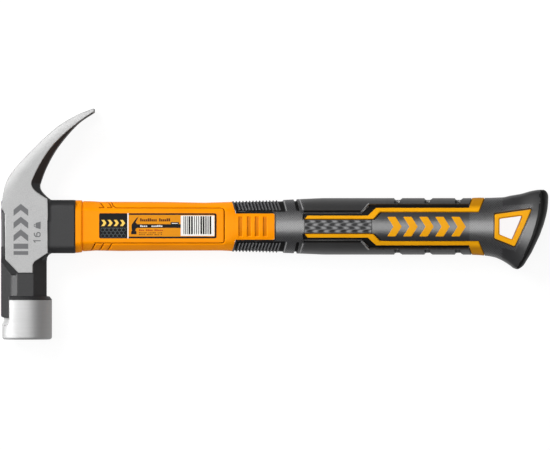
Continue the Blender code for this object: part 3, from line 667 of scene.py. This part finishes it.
RIB_FIELD = [(120.2, 45), (120.2, 14.3), (122.2, 8.5), (150.4, 8.5), (148.9, 15.5), (148.9, 45)]
RIB = np.array([(0, 45), (0, 15.6), (2.3, 9.3), (3.2, 9.3), (0.9, 15.6), (0.9, 45)])
RIBS = [RIB + [121.2 + 1.95 * n, 0] for n in range(13)]

features = []      # outline, level it takes, width of its bevel


def flat_shape(outline):
    """An outline in x and y taken to u and q."""
    p = np.array(outline, float)
    return np.stack([u_of(p[:, 0], p[:, 1]), p[:, 1]], 1)


def feature(outline, level, bevel=0.3, both=False, keep=False):
    """Relief inside an outline; both adds its mirror image, keep says that it is in u and q already."""
    for shape in [np.array(outline, float)] + ([flipped(outline)] if both else []):
        features.append((shape if keep else flat_shape(shape), level, bevel))


feature([(START - 5, -60), (32.1, -60), (32.1, 60), (START - 5, 60)], 0.45, 0.5)
feature(stroke([(32.5, -60), (32.5, 60)], 0.7), -0.5, 0.25)
for path in GROOVES:
    feature(stroke(path, 1.5), -0.3, 0.6)
    feature(stroke(path, 0.62), -1.0, 0.2)
feature(BLACK_ZONE, 0.3, 0.35)
feature(stroke(MOAT, 0.7), -0.8, 0.3)
for x in THUMB_BARS:
    feature(rounded([(x - 1.3, 6.1), (x + 1.5, 6.1), (x + 1.5, -6.1), (x - 1.3, -6.1)], 0.4, 2), -0.55, 0.6)
    feature([(x - 1.25, 5.8), (x - 0.35, 5.8), (x - 0.35, -5.8), (x - 1.25, -5.8)], -0.62, 0.25)
feature(RIB_FIELD, -0.45, 0.4, both=True)
for rib in RIBS:
    feature(rib, 0.4, 0.35, both=True)
feature(SLANT, -0.75, 0.4, both=True)
feature(CHANNEL, -0.9, 0.45, both=True)
feature(stroke(RIDGE, 0.5), -0.35, 0.2, both=True)
for x in POCKETS:
    feature([(x - 0.2, 60), (x - 0.2, 14.9), (x + 3.0, 14.9), (x + 4.6, 16.6), (x + 5.4, 60)],
            -0.75, 1.1, both=True)
    feature(rounded([(x, 15.9), (x - 0.2, 13.0), (x + 2.9, 13.0), (x + 3.4, 15.9)], [0.6, 0.8, 1.2, 0.8]),
            -1.5, 0.9, both=True)
feature(grown(LINE, 0.35), -0.7, 0.3, both=True)
feature(LINE, 0.3, 0.3, both=True)
feature(grown(PANEL, 0.35), -0.6, 0.2)
feature(PANEL, 0.0, 0.15)
for lip in LIPS:
    feature(stroke(lip, 0.5), 0.3, 0.2, both=True)
for mark in MARKS:
    feature(mark, 0.35, 0.3)
feature(grown(FRAME, 0.5), -0.6, 0.4)
feature(FRAME, 0.35, 0.5)
feature(grown(HOLE, 0.55), -0.6, 0.6)
feature([(ROLL + 0.5, -60), (ROLL + 1.3, -60), (ROLL + 1.3, 60), (ROLL + 0.5, 60)], -0.12, 0.4, keep=True)


def level(u, q):
    """Height of the relief over the skin; a later feature lies over an earlier one."""
    h = np.zeros(np.broadcast(u, q).shape)
    for shape, height, bevel in features:
        d = inside_distance(shape, u, q)
        w = np.clip(d / bevel, 0, 1)
        w = w * (2 - w)
        h = h * (1 - w) + height * w
    return h


def resample(line, gap, closed=True):
    p = np.vstack([line, line[:1]]) if closed else np.array(line, float)
    made = []
    for a, b in zip(p, p[1:]):
        n = max(1, int(math.ceil(np.linalg.norm(b - a) / gap)))
        made.append(a + (b - a) * (np.arange(n) / n)[:, None])
    if not closed:
        made.append(p[-1:])
    return np.vstack(made)


def handle_mesh():
    """Triangles over u and q whose edges follow the rim, the bends of the skin and every feature."""
    us = np.concatenate([np.arange(START, ROLL, 1.2), ROLL + np.linspace(0, ROLL_RUN, 14)])
    rim = np.vstack([np.stack([us, edge_q(us, 1)], 1), np.stack([us[::-1], -edge_q(us[::-1], -1)], 1)])
    coords, edges = [], []

    def line(p, closed=True, gap=1.1):
        p = resample(p, gap, closed)
        base = len(coords)
        coords.extend(p.tolist())
        n = len(p)
        edges.extend((base + i, base + (i + 1) % n) for i in range(n if closed else n - 1))

    line(rim, gap=5)
    for sign in (1, -1):
        high = edge_q(us, sign) + INSET * (1 + LEAN) - WRAP - EDGE(us)
        for offset in (-1.3, -0.65, 0, 0.65, 1.3):
            line(np.stack([us, sign * (high - SHOULDER(us) + offset)], 1), False, 5)
        for part in (0, 0.2, 0.4, 0.6, 0.8, 1):
            line(np.stack([us, sign * (high - INSET + WRAP * part)], 1), False, 5)
    for shape, height, bevel in features:
        for part in (0, 0.4, 1.0):
            line(grown(shape, -bevel * part))
    hole = flat_shape(HOLE)
    line(hole)
    fixed = np.array(coords)
    gu, gq = np.meshgrid(np.arange(START + 0.7, ROLL + ROLL_RUN, 1.5), np.arange(-31, 29, 1.4),
                         indexing="ij")
    gq = gq + (np.arange(gu.shape[0]) % 2)[:, None] * 0.7
    grid = np.stack([gu.ravel(), gq.ravel()], 1)
    near = np.full(len(grid), 1e9)
    for i in range(0, len(fixed), 2000):
        near = np.minimum(near, ((grid[:, None] - fixed[None, i:i + 2000]) ** 2).sum(-1).min(1))
    grid = grid[near > 0.45 ** 2]
    all_pts = [Vector(p) for p in coords] + [Vector(p) for p in grid.tolist()]
    verts, _, tris, _, _, _ = delaunay_2d_cdt(all_pts, edges, [], 0, 1e-4)
    uv = np.array([tuple(v) for v in verts])
    tris = np.array(tris)
    mid = uv[tris].mean(1)
    keep = inside_distance(rim, mid[:, 0], mid[:, 1]) > 1e-4
    keep &= inside_distance(hole, mid[:, 0], mid[:, 1]) < 0
    return uv, tris[keep], mid[keep], hole


uv, tris, mid, hole = handle_mesh()
base = skin(uv[:, 0], uv[:, 1])
d = 0.02
du = skin(uv[:, 0] + d, uv[:, 1]) - skin(uv[:, 0] - d, uv[:, 1])
dq = skin(uv[:, 0], uv[:, 1] + d) - skin(uv[:, 0], uv[:, 1] - d)
nrm = np.cross(du, dq)
length = np.linalg.norm(nrm, axis=1)
nrm = np.where(length[:, None] > 1e-9, nrm / np.maximum(length, 1e-9)[:, None], [0, 0, 1])
on_rim = base[:, 2] < 1e-6
nrm[on_rim, 2] = 0
surface = base + nrm * level(uv[:, 0], uv[:, 1])[:, None]
surface[on_rim, 2] = 0
surface[:, 2] = np.maximum(surface[:, 2], 0)


def within(outline):
    """Which triangles lie inside an outline in x and y."""
    return inside_distance(flat_shape(outline), mid[:, 0], mid[:, 1]) > 0


def both_within(outline):
    return within(outline) | within(flipped(outline))


# painted shade mask: 1 where the relief sinks into a groove, and the materials darken the colour there
groove_shade = np.clip((-0.35 - level(uv[:, 0], uv[:, 1])) / 0.5, 0, 1)
black = within(BLACK_ZONE)
inlay = both_within(LINE) | within(FRAME)
for mark in MARKS:
    inlay |= within(mark)
panel = within(PANEL)
orange = ~black | inlay


def shell(name, chosen, materials, slots, thick, walls=None, halves=(1, -1), **where):
    """A skin from the chosen triangles, given a thickness, on one or both halves of the hammer; walls is the
    outline of a hole that goes through from one half to the other."""
    used = np.unique(tris[chosen])
    remap = np.full(len(surface), -1)
    remap[used] = np.arange(len(used))
    pts, faces, index = [], [], []
    t = remap[tris[chosen]]
    for half in halves:
        offset = len(pts) * len(used)
        pts.append(surface[used] * [1, 1, half])
        faces.append((t if half > 0 else t[:, ::-1]) + offset)
        index.append(slots)
    pts = np.vstack(pts)
    faces = [tuple(f) for f in np.vstack(faces)]
    index = list(np.concatenate(index))
    if walls is not None:
        count = {}
        for tri in t:
            for a, b in zip(tri, np.roll(tri, -1)):
                count[(a, b)] = 1
        close = np.abs(inside_distance(walls, uv[used, 0], uv[used, 1])) < 1e-3
        for a, b in list(count):
            if (b, a) not in count and close[a] and close[b]:
                faces.append((b, a, a + len(used), b + len(used)))
                index.append(0)
    obj = new_piece(name, pts, faces, materials, face_slots=index, **where)
    # the painted groove shade mask, read by the materials
    add_float(obj, "groove_shade", np.tile(groove_shade[used], len(halves)))
    bm = bmesh.new()
    bm.from_mesh(obj.data)
    flat = [v for v in bm.verts if abs(v.co.z * 1000 - LOW[2]) < 1e-4]
    bmesh.ops.remove_doubles(bm, verts=flat, dist=1e-7)
    bmesh.ops.dissolve_degenerate(bm, edges=bm.edges, dist=1e-7)
    bm.to_mesh(obj.data)
    bm.free()
    crease(obj, 38)
    solid = obj.modifiers.new("thickness", "SOLIDIFY")
    solid.thickness = thick / 1000
    solid.offset = -1
    obj.modifiers.new("normals", "WEIGHTED_NORMAL").keep_sharp = True


grip_faces = ~orange & ~panel
dots_zone = within(FRONT_DOTS) | within(BUTT_DOTS)
SMOOTH, DOTTED, RAILS, CREST_HIGHLIGHT_SLOT, LIP_HIGHLIGHT_SLOT, MATTE_SHADED_SLOT = range(6)
zone = np.where(dots_zone, DOTTED, np.where(both_within(RAIL_ZONE), RAILS, SMOOTH))
# the sunken zones and then the rolled end take the matte rubber, painted darker as shade
for outline, inset in ((RIB_FIELD, 0.2), (SLANT, 0.2), (CHANNEL, 0.25)):
    zone[both_within(grown(outline, -inset))] = MATTE_SHADED_SLOT
zone[mid[:, 0] > ROLL - 0.6] = MATTE_SHADED_SLOT
# the rib crests and the ridge take the pale grey as a painted highlight
for rib in RIBS:
    zone[both_within(grown(rib, -0.14))] = CREST_HIGHLIGHT_SLOT
zone[both_within(grown(stroke(RIDGE, 0.5), -0.08))] = CREST_HIGHLIGHT_SLOT
# the lips are coloured light grey as a painted highlight
for lip in LIPS:
    zone[both_within(stroke(lip, 0.5))] = LIP_HIGHLIGHT_SLOT
shell("grip_rubber", grip_faces, [BLACK, DOTS, RAIL_GREY, PAINTED_CREST_HIGHLIGHT, PAINTED_LIP_HIGHLIGHT, MATTE_SHADE_RUBBER], zone[grip_faces], 1.0,
      replaces=["grip"], slot="black_rubber")
shell("jacket_plastic", orange, [ORANGE, YELLOW], np.where(inlay, 1, 0)[orange], 1.0, walls=hole,
      replaces=["jacket"], slot="orange_plastic")


# ---------------------------------------------------------------- chequered inserts

def chequer():
    """Slanted dark and light cells in four rows, like a coarse weave."""
    s = Shade("insert_chequer", Specular_IOR_Level=0.3)
    split = s.node("SeparateXYZ", {0: s.at})
    y = s.math("SUBTRACT", split.outputs[1], LOW[1] / 1000)
    row, pitch = 0.00195, 0.0065
    across = s.math("COSINE", s.math("MULTIPLY", s.math("ADD", y, 0.0008), math.pi / row))
    lean = s.math("MULTIPLY", s.math("SINE", s.math("MULTIPLY", y, math.pi / row)), 0.0009)
    along = s.math("SINE", s.math("MULTIPLY", s.math("ADD", split.outputs[0], lean), 2 * math.pi / pitch))
    weave = s.math("MULTIPLY", across, along)
    fine = s.noise(2500, 3, 0.6)
    dark = s.mix(s.span(weave, -0.45, -0.05, 0, 1), (0.006, 0.006, 0.007), (0.08, 0.08, 0.083))
    s.to("Base Color", s.mix(s.span(weave, 0.1, 0.7, 0, 1), dark, (0.23, 0.23, 0.235)))
    s.to("Roughness", s.span(fine, 0.3, 0.7, 0.36, 0.48))
    s.bump(s.math("ADD", s.math("MULTIPLY", fine, 0.1), weave), 0.00015, 0.7)
    return s.mat


CHEQUER = chequer()
for side, half in (("front", 1), ("back", -1)):
    shell(f"insert_{side}", panel, [CHEQUER], np.zeros(panel.sum(), int), 0.5, halves=(half,),
          replaces=[f"texture_panel_{side}"], slot="grey_insert")


# ---------------------------------------------------------------- print: label and etched marks

def rect(x0, x1, y0, y1):
    return [(x0, y0), (x1, y0), (x1, y1), (x0, y1)]


def printed(name, outline, inks, materials, height, thick, gap=3.0, **where):
    """A thin sheet at the given height, divided into inks; later inks lie over earlier ones."""
    coords, edges = [], []
    for shape in [outline] + [ink[0] for ink in inks]:
        p = resample(np.array(shape, float), gap)
        first = len(coords)
        coords.extend(Vector(q) for q in p.tolist())
        edges.extend((first + i, first + (i + 1) % len(p)) for i in range(len(p)))
    verts, _, faces, _, _, _ = delaunay_2d_cdt(coords, edges, [], 0, 1e-5)
    xy = np.array([tuple(v) for v in verts])
    faces = np.array(faces)
    middle = xy[faces].mean(1)
    index = np.zeros(len(faces), int)
    on = inside_distance(outline, middle[:, 0], middle[:, 1]) > 1e-6
    for shape, ink in inks:
        index[inside_distance(shape, middle[:, 0], middle[:, 1]) > 0] = ink
    used = np.unique(faces[on])
    remap = np.full(len(xy), -1)
    remap[used] = np.arange(len(used))
    obj = new_piece(name, np.column_stack([xy[used], height(xy[used])]), remap[faces[on]], materials,
                    face_slots=index[on], **where)
    crease(obj, 30)
    solid = obj.modifiers.new("thickness", "SOLIDIFY")
    solid.thickness, solid.offset = thick / 1000, -1


def ink(name, colour, rough=0.4, metallic=0.0):
    s = Shade(name, Metallic=metallic, Specular_IOR_Level=0.05)
    fine = s.noise(3000, 3, 0.6)
    s.to("Base Color", s.mix(s.span(fine, 0.3, 0.7, 0, 1), tuple(c * 0.92 for c in colour), colour))
    s.to("Roughness", s.span(fine, 0.3, 0.7, rough - 0.05, rough + 0.08))
    s.bump(fine, 0.00001, 0.3)
    return s.mat


def greek(x0, x1, y0, y1, colour, words, pitch, fill):
    """Blocks that stand for a line of small print, with a gap where a number is in words."""
    made, x, n = [], x0, 0
    while x + pitch * fill <= x1 + 1e-6:
        if n not in words:
            tall = 1.0 if (n * 7) % 5 in (0, 3) else 0.72
            made.append((rect(x, x + pitch * fill, y0, y0 + (y1 - y0) * tall), colour))
        x += pitch
        n += 1
    return made


def hexagon(cx, cy, r):
    angles = (math.pi / 6 + k * math.pi / 3 for k in range(6))
    return [(cx + r * math.cos(a), cy + r * math.sin(a)) for a in angles]


INKS = [ink("label_orange", (0.74, 0.27, 0.008)), ink("label_black", (0.012, 0.012, 0.013)),
        ink("label_white", (0.86, 0.85, 0.82)), ink("label_brown", (0.13, 0.035, 0.008)),
        ink("label_grey", (0.11, 0.13, 0.135)), ink("label_pale", (0.92, 0.60, 0.12)),
        ink("label_red", (0.45, 0.06, 0.01))]
PLAIN, DARK, WHITE, BROWN, GREY, PALE_ORANGE, RED = range(len(INKS))

# a dark field with chevrons over a honeycomb, a white strip, then an orange field in a dark frame
label_inks = [(rounded([(42.1, 7.75), (58.5, 7.75), (58.5, -6.8), (42.1, -6.8)], [1.1, 0, 0, 1.1]), DARK),
              (rect(58.5, 59.2, -6.8, 7.75), WHITE),
              (rounded([(59.2, 7.75), (110.2, 7.75), (110.2, -6.8), (59.2, -6.8)], [0, 1.2, 1.2, 0]), DARK),
              (rounded([(59.2, 6.8), (109.2, 6.8), (109.2, -5.8), (59.2, -5.8)], [0, 0.7, 0.7, 0]), PLAIN)]
for n in range(4):
    x = 43.4 + n * 3.6
    chevron = [(x, 3.9), (x + 1.7, 3.9), (x + 3.0, 2.1), (x + 1.7, 0.3), (x, 0.3), (x + 1.3, 2.1)]
    label_inks.append((chevron, PALE_ORANGE))
label_inks.append((rect(43.3, 57.5, -0.95, -0.75), GREY))
for row in range(3):
    for n in range(6):
        cx, cy = 44.2 + n * 2.42 + (row % 2) * 1.21, -1.9 - row * 1.75
        if cx < 57.2:
            label_inks += [(hexagon(cx, cy, 1.28), GREY), (hexagon(cx, cy, 1.10), DARK)]
HAMMER = [(60.9, 0.9), (61.9, 2.5), (63.4, 4.5), (65.2, 5.9), (64.0, 3.9), (63.3, 2.4), (64.2, 1.4),
          (89.5, 1.4), (89.5, -0.75), (64.2, -0.75), (63.4, -1.2), (63.2, -2.4), (63.8, -2.9), (63.8, -4.4),
          (60.7, -4.4), (60.7, -2.9), (61.2, -2.4), (61.0, -1.2)]
label_inks.append((HAMMER, DARK))
label_inks += greek(65.9, 83.4, 3.0, 4.8, BROWN, (9,), 1.1, 0.82)
label_inks += greek(65.9, 79.0, -0.15, 0.85, WHITE, (4, 5), 1.1, 0.75)
label_inks += [(rounded(rect(83.6, 88.4, 1.2, 2.6), 0.3, 2), DARK), (rect(84.3, 87.7, 1.65, 2.05), WHITE)]
label_inks += greek(65.3, 79.3, -2.5, -1.6, RED, (3, 8), 1.0, 0.8)
label_inks += greek(65.3, 79.3, -3.85, -3.35, BROWN, (5, 11), 0.9, 0.8)
label_inks += greek(65.3, 79.3, -4.9, -4.4, BROWN, (4, 9, 13), 0.9, 0.8)
label_inks.append((rect(89.5, 109.0, -5.4, 6.4), WHITE))
bar = 91.1
for n in range(15):
    wide = (0.45, 0.7, 0.4, 1.0, 0.5)[(n * n + 3 * n) % 5]
    label_inks.append((rect(bar, bar + wide, -4.4, 6.0), DARK))
    bar += wide + (0.5, 0.75, 0.35)[(n * 3 + n // 4) % 3]
    if bar > 107.4:
        break
LABEL = rounded([(42.1, 7.75), (110.2, 7.75), (110.2, -6.8), (42.1, -6.8)], [1.1, 1.2, 1.2, 1.1])
LABEL_LIFT, LABEL_THICK = 0.14, 0.1
printed("label_print", LABEL, label_inks, INKS, lambda p: skin(p[:, 0], p[:, 1])[:, 2] + LABEL_LIFT,
        LABEL_THICK, replaces=["label"], slot="label_print")

# etched marks on both cheeks: three chevrons and two bars, the number 16 and a weight's outline
ETCH = [ink("etched_mark", (0.14, 0.14, 0.145), 0.5, 0.4)]
ETCH_TOP, ETCH_LOW = 12.36, 12.2


def turned(path):
    """Figures 4 mm high that read from the striking face towards the claw."""
    return [(8.2 - b, -9.5 + a) for a, b in path]


ONE = [(0.2, 3.1), (1.3, 3.9), (1.3, 0.0)]
SIX = [(5.9, 3.6), (4.6, 3.6), (3.7, 2.7), (3.7, 0.9), (4.3, 0.3), (5.5, 0.3), (6.1, 0.9), (6.1, 1.6),
       (5.5, 2.2), (4.05, 2.2)]
WEIGHT = [(8.0, 0.0), (12.4, 0.0), (11.6, 2.9), (8.8, 2.9)]
HANDLE = [(9.6, 3.0), (9.6, 3.7), (10.8, 3.7), (10.8, 3.0)]
etched = [[(-7.5, y), (-7.5, y + 3.6), (-3.3, y + 7.0), (1.0, y + 3.6), (1.0, y), (-3.3, y + 3.4)]
          for y in (-8.6 + n * 7.4 for n in range(3))]
etched += [rect(-7.5, 1.0, -12.9, -9.9), rect(-7.5, 1.0, -16.4, -14.2), stroke(turned(ONE), 0.62),
           stroke(turned(SIX), 0.62), turned(WEIGHT), stroke(turned(HANDLE), 0.4)]


def etched_plate(name, outline, half):
    """A closed plate that ends a hair above the cheek, on the front (1) or the back (-1)."""
    p = resample(np.array(outline, float), 2.0)
    count = len(p)
    pts = np.vstack([np.column_stack([p, np.full(count, z * half)]) for z in (ETCH_TOP, ETCH_LOW)])
    ring = [(i, (i + 1) % count) for i in range(count)]
    fill = delaunay_2d_cdt([Vector(q) for q in p.tolist()], ring, [], 0, 1e-6)[2]
    top = [tuple(f)[::half] for f in fill if inside_distance(p, *p[list(f)].mean(0)) > 0]
    low = [tuple(i + count for i in f)[::-1] for f in top]
    area = np.sum(p[:, 0] * np.roll(p[:, 1], -1) - np.roll(p[:, 0], -1) * p[:, 1])
    turn = 1 if (area > 0) == (half > 0) else -1
    wall = [(i, i + count, j + count, j)[::turn] for i, j in ring]
    crease(new_piece(name, pts, top + low + wall, ETCH, slot="head_steel"), 30)


for side, half in (("front", 1), ("back", -1)):
    for n, shape in enumerate(etched):
        etched_plate(f"etched_{side}_{n}", shape, half)


# ---------------------------------------------------------------- plain CAD pieces that stay

def resin():
    s = Shade("cast_epoxy", Coat_Weight=0.4, Coat_Roughness=0.1)
    cloud = s.noise(220, 4)
    s.to("Base Color", s.mix(s.span(cloud, 0.3, 0.7, 0, 1), (0.19, 0.12, 0.035), (0.31, 0.21, 0.07)))
    s.to("Roughness", s.span(cloud, 0.3, 0.7, 0.2, 0.4))
    s.bump(cloud, 0.0004, 0.4)
    return s.mat


def pultruded():
    s = Shade("pultruded_glass")
    fibre = s.noise(1500, 4, 0.6, (0.02, 1, 1))
    s.to("Base Color", s.mix(s.span(fibre, 0.3, 0.7, 0, 1), (0.55, 0.50, 0.28), (0.74, 0.69, 0.46)))
    s.to("Roughness", s.span(fibre, 0.3, 0.7, 0.4, 0.6))
    s.bump(fibre, 0.0001, 0.5)
    return s.mat


def nickel():
    s = Shade("nickel_plate", Metallic=1.0)
    fine = s.noise(1800, 4)
    s.to("Base Color", s.mix(s.span(fine, 0.3, 0.7, 0, 1), (0.30, 0.30, 0.31), (0.42, 0.42, 0.43)))
    s.to("Roughness", s.span(fine, 0.3, 0.7, 0.2, 0.35))
    s.bump(fine, 0.00002, 0.4)
    return s.mat


for node, look in (("eye_epoxy", resin()), ("fibreglass_core", pultruded()), ("nail_magnet", nickel())):
    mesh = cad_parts[node].data
    mesh.materials.clear()
    mesh.materials.append(look)
    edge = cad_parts[node].modifiers.new("edge", "BEVEL")
    edge.width, edge.segments, edge.limit_method, edge.angle_limit = 0.0003, 2, "ANGLE", math.radians(50)


# ---------------------------------------------------------------- floor, light, camera

def floor_look():
    s = Shade("studio_floor", Roughness=0.9, Specular_IOR_Level=0.0, Emission_Color=(1, 1, 1, 1),
              Emission_Strength=0.90)
    patchy = s.span(s.noise(3, 2), 0.3, 0.7, 0, 1)
    s.to("Base Color", s.mix(patchy, (0.125, 0.125, 0.125), (0.135, 0.135, 0.135)))
    return s.mat


FLOOR_HALF, FLOOR_Z = 12, -0.0002
mesh = bpy.data.meshes.new("studio_floor")
corners = [(-FLOOR_HALF, -FLOOR_HALF), (FLOOR_HALF, -FLOOR_HALF), (FLOOR_HALF, FLOOR_HALF),
           (-FLOOR_HALF, FLOOR_HALF)]
mesh.from_pydata([(x, y, FLOOR_Z) for x, y in corners], [], [(0, 1, 2, 3)])
mesh.materials.append(floor_look())
floor = bpy.data.objects.new("studio_floor", mesh)
bpy.context.scene.collection.objects.link(floor)
floor.visible_glossy = False


def lamp(name, at, size, size_y, glow, aim=(0, 0, 0.01)):
    """A soft box of the given brightness."""
    data = bpy.data.lights.new(name, "AREA")
    data.shape = "RECTANGLE"
    data.size, data.size_y, data.energy = size, size_y, glow * math.pi * size * size_y
    obj = bpy.data.objects.new(name, data)
    bpy.context.scene.collection.objects.link(obj)
    obj.location = at
    obj.rotation_euler = (Vector(aim) - Vector(at)).to_track_quat("-Z", "Y").to_euler()
    obj.visible_camera = False


def studio():
    """Bright from the horizon down and dim above it, a little brighter on the left."""
    world = bpy.data.worlds.new("studio")
    world.use_nodes = True
    nodes, links = world.node_tree.nodes, world.node_tree.links
    split = nodes.new("ShaderNodeSeparateXYZ")
    links.new(nodes.new("ShaderNodeTexCoord").outputs["Generated"], split.inputs[0])
    times = nodes.new("ShaderNodeMath")
    times.operation = "MULTIPLY"
    for n, (axis, spans) in enumerate(((2, (-0.02, 0.22, 0.58, 0.08)), (0, (-1, 1, 1.3, 1.15)))):
        ramp = nodes.new("ShaderNodeMapRange")
        ramp.interpolation_type = "SMOOTHSTEP"
        links.new(split.outputs[axis], ramp.inputs["Value"])
        for key, value in zip(("From Min", "From Max", "To Min", "To Max"), spans):
            ramp.inputs[key].default_value = value
        links.new(ramp.outputs[0], times.inputs[n])
    links.new(times.outputs[0], nodes["Background"].inputs["Strength"])
    nodes["Background"].inputs["Color"].default_value = (1, 1, 1, 1)
    return world


bpy.context.scene.world = studio()
lamp("key", (-0.66, 0.55, 1.0), 0.7, 0.6, 9.6)
lamp("left_strip", (-1.0, -0.05, 0.10), 0.26, 0.7, 17)
lamp("overhead", (0.0, 0.0, 2.0), 1.15, 1.1, 3.8)
bpy.context.scene.view_settings.view_transform = "Standard"
bpy.context.scene.view_settings.look = "None"

# a long lens straight above, WIDTH metres of the hammer's front plane across the picture
WIDTH, LENS, SENSOR, PLANE_Z = 0.319, 600.0, 36.0, 0.0285
centre = to_frame([144.19, 0.93, 14.5])
camera_data = bpy.data.cameras.new("camera")
camera_data.lens, camera_data.sensor_width, camera_data.clip_end = LENS, SENSOR, 60
camera = bpy.data.objects.new("camera", camera_data)
bpy.context.scene.collection.objects.link(camera)
camera.location = (centre[0], centre[1], PLANE_Z + WIDTH * LENS / SENSOR)
bpy.context.scene.camera = camera
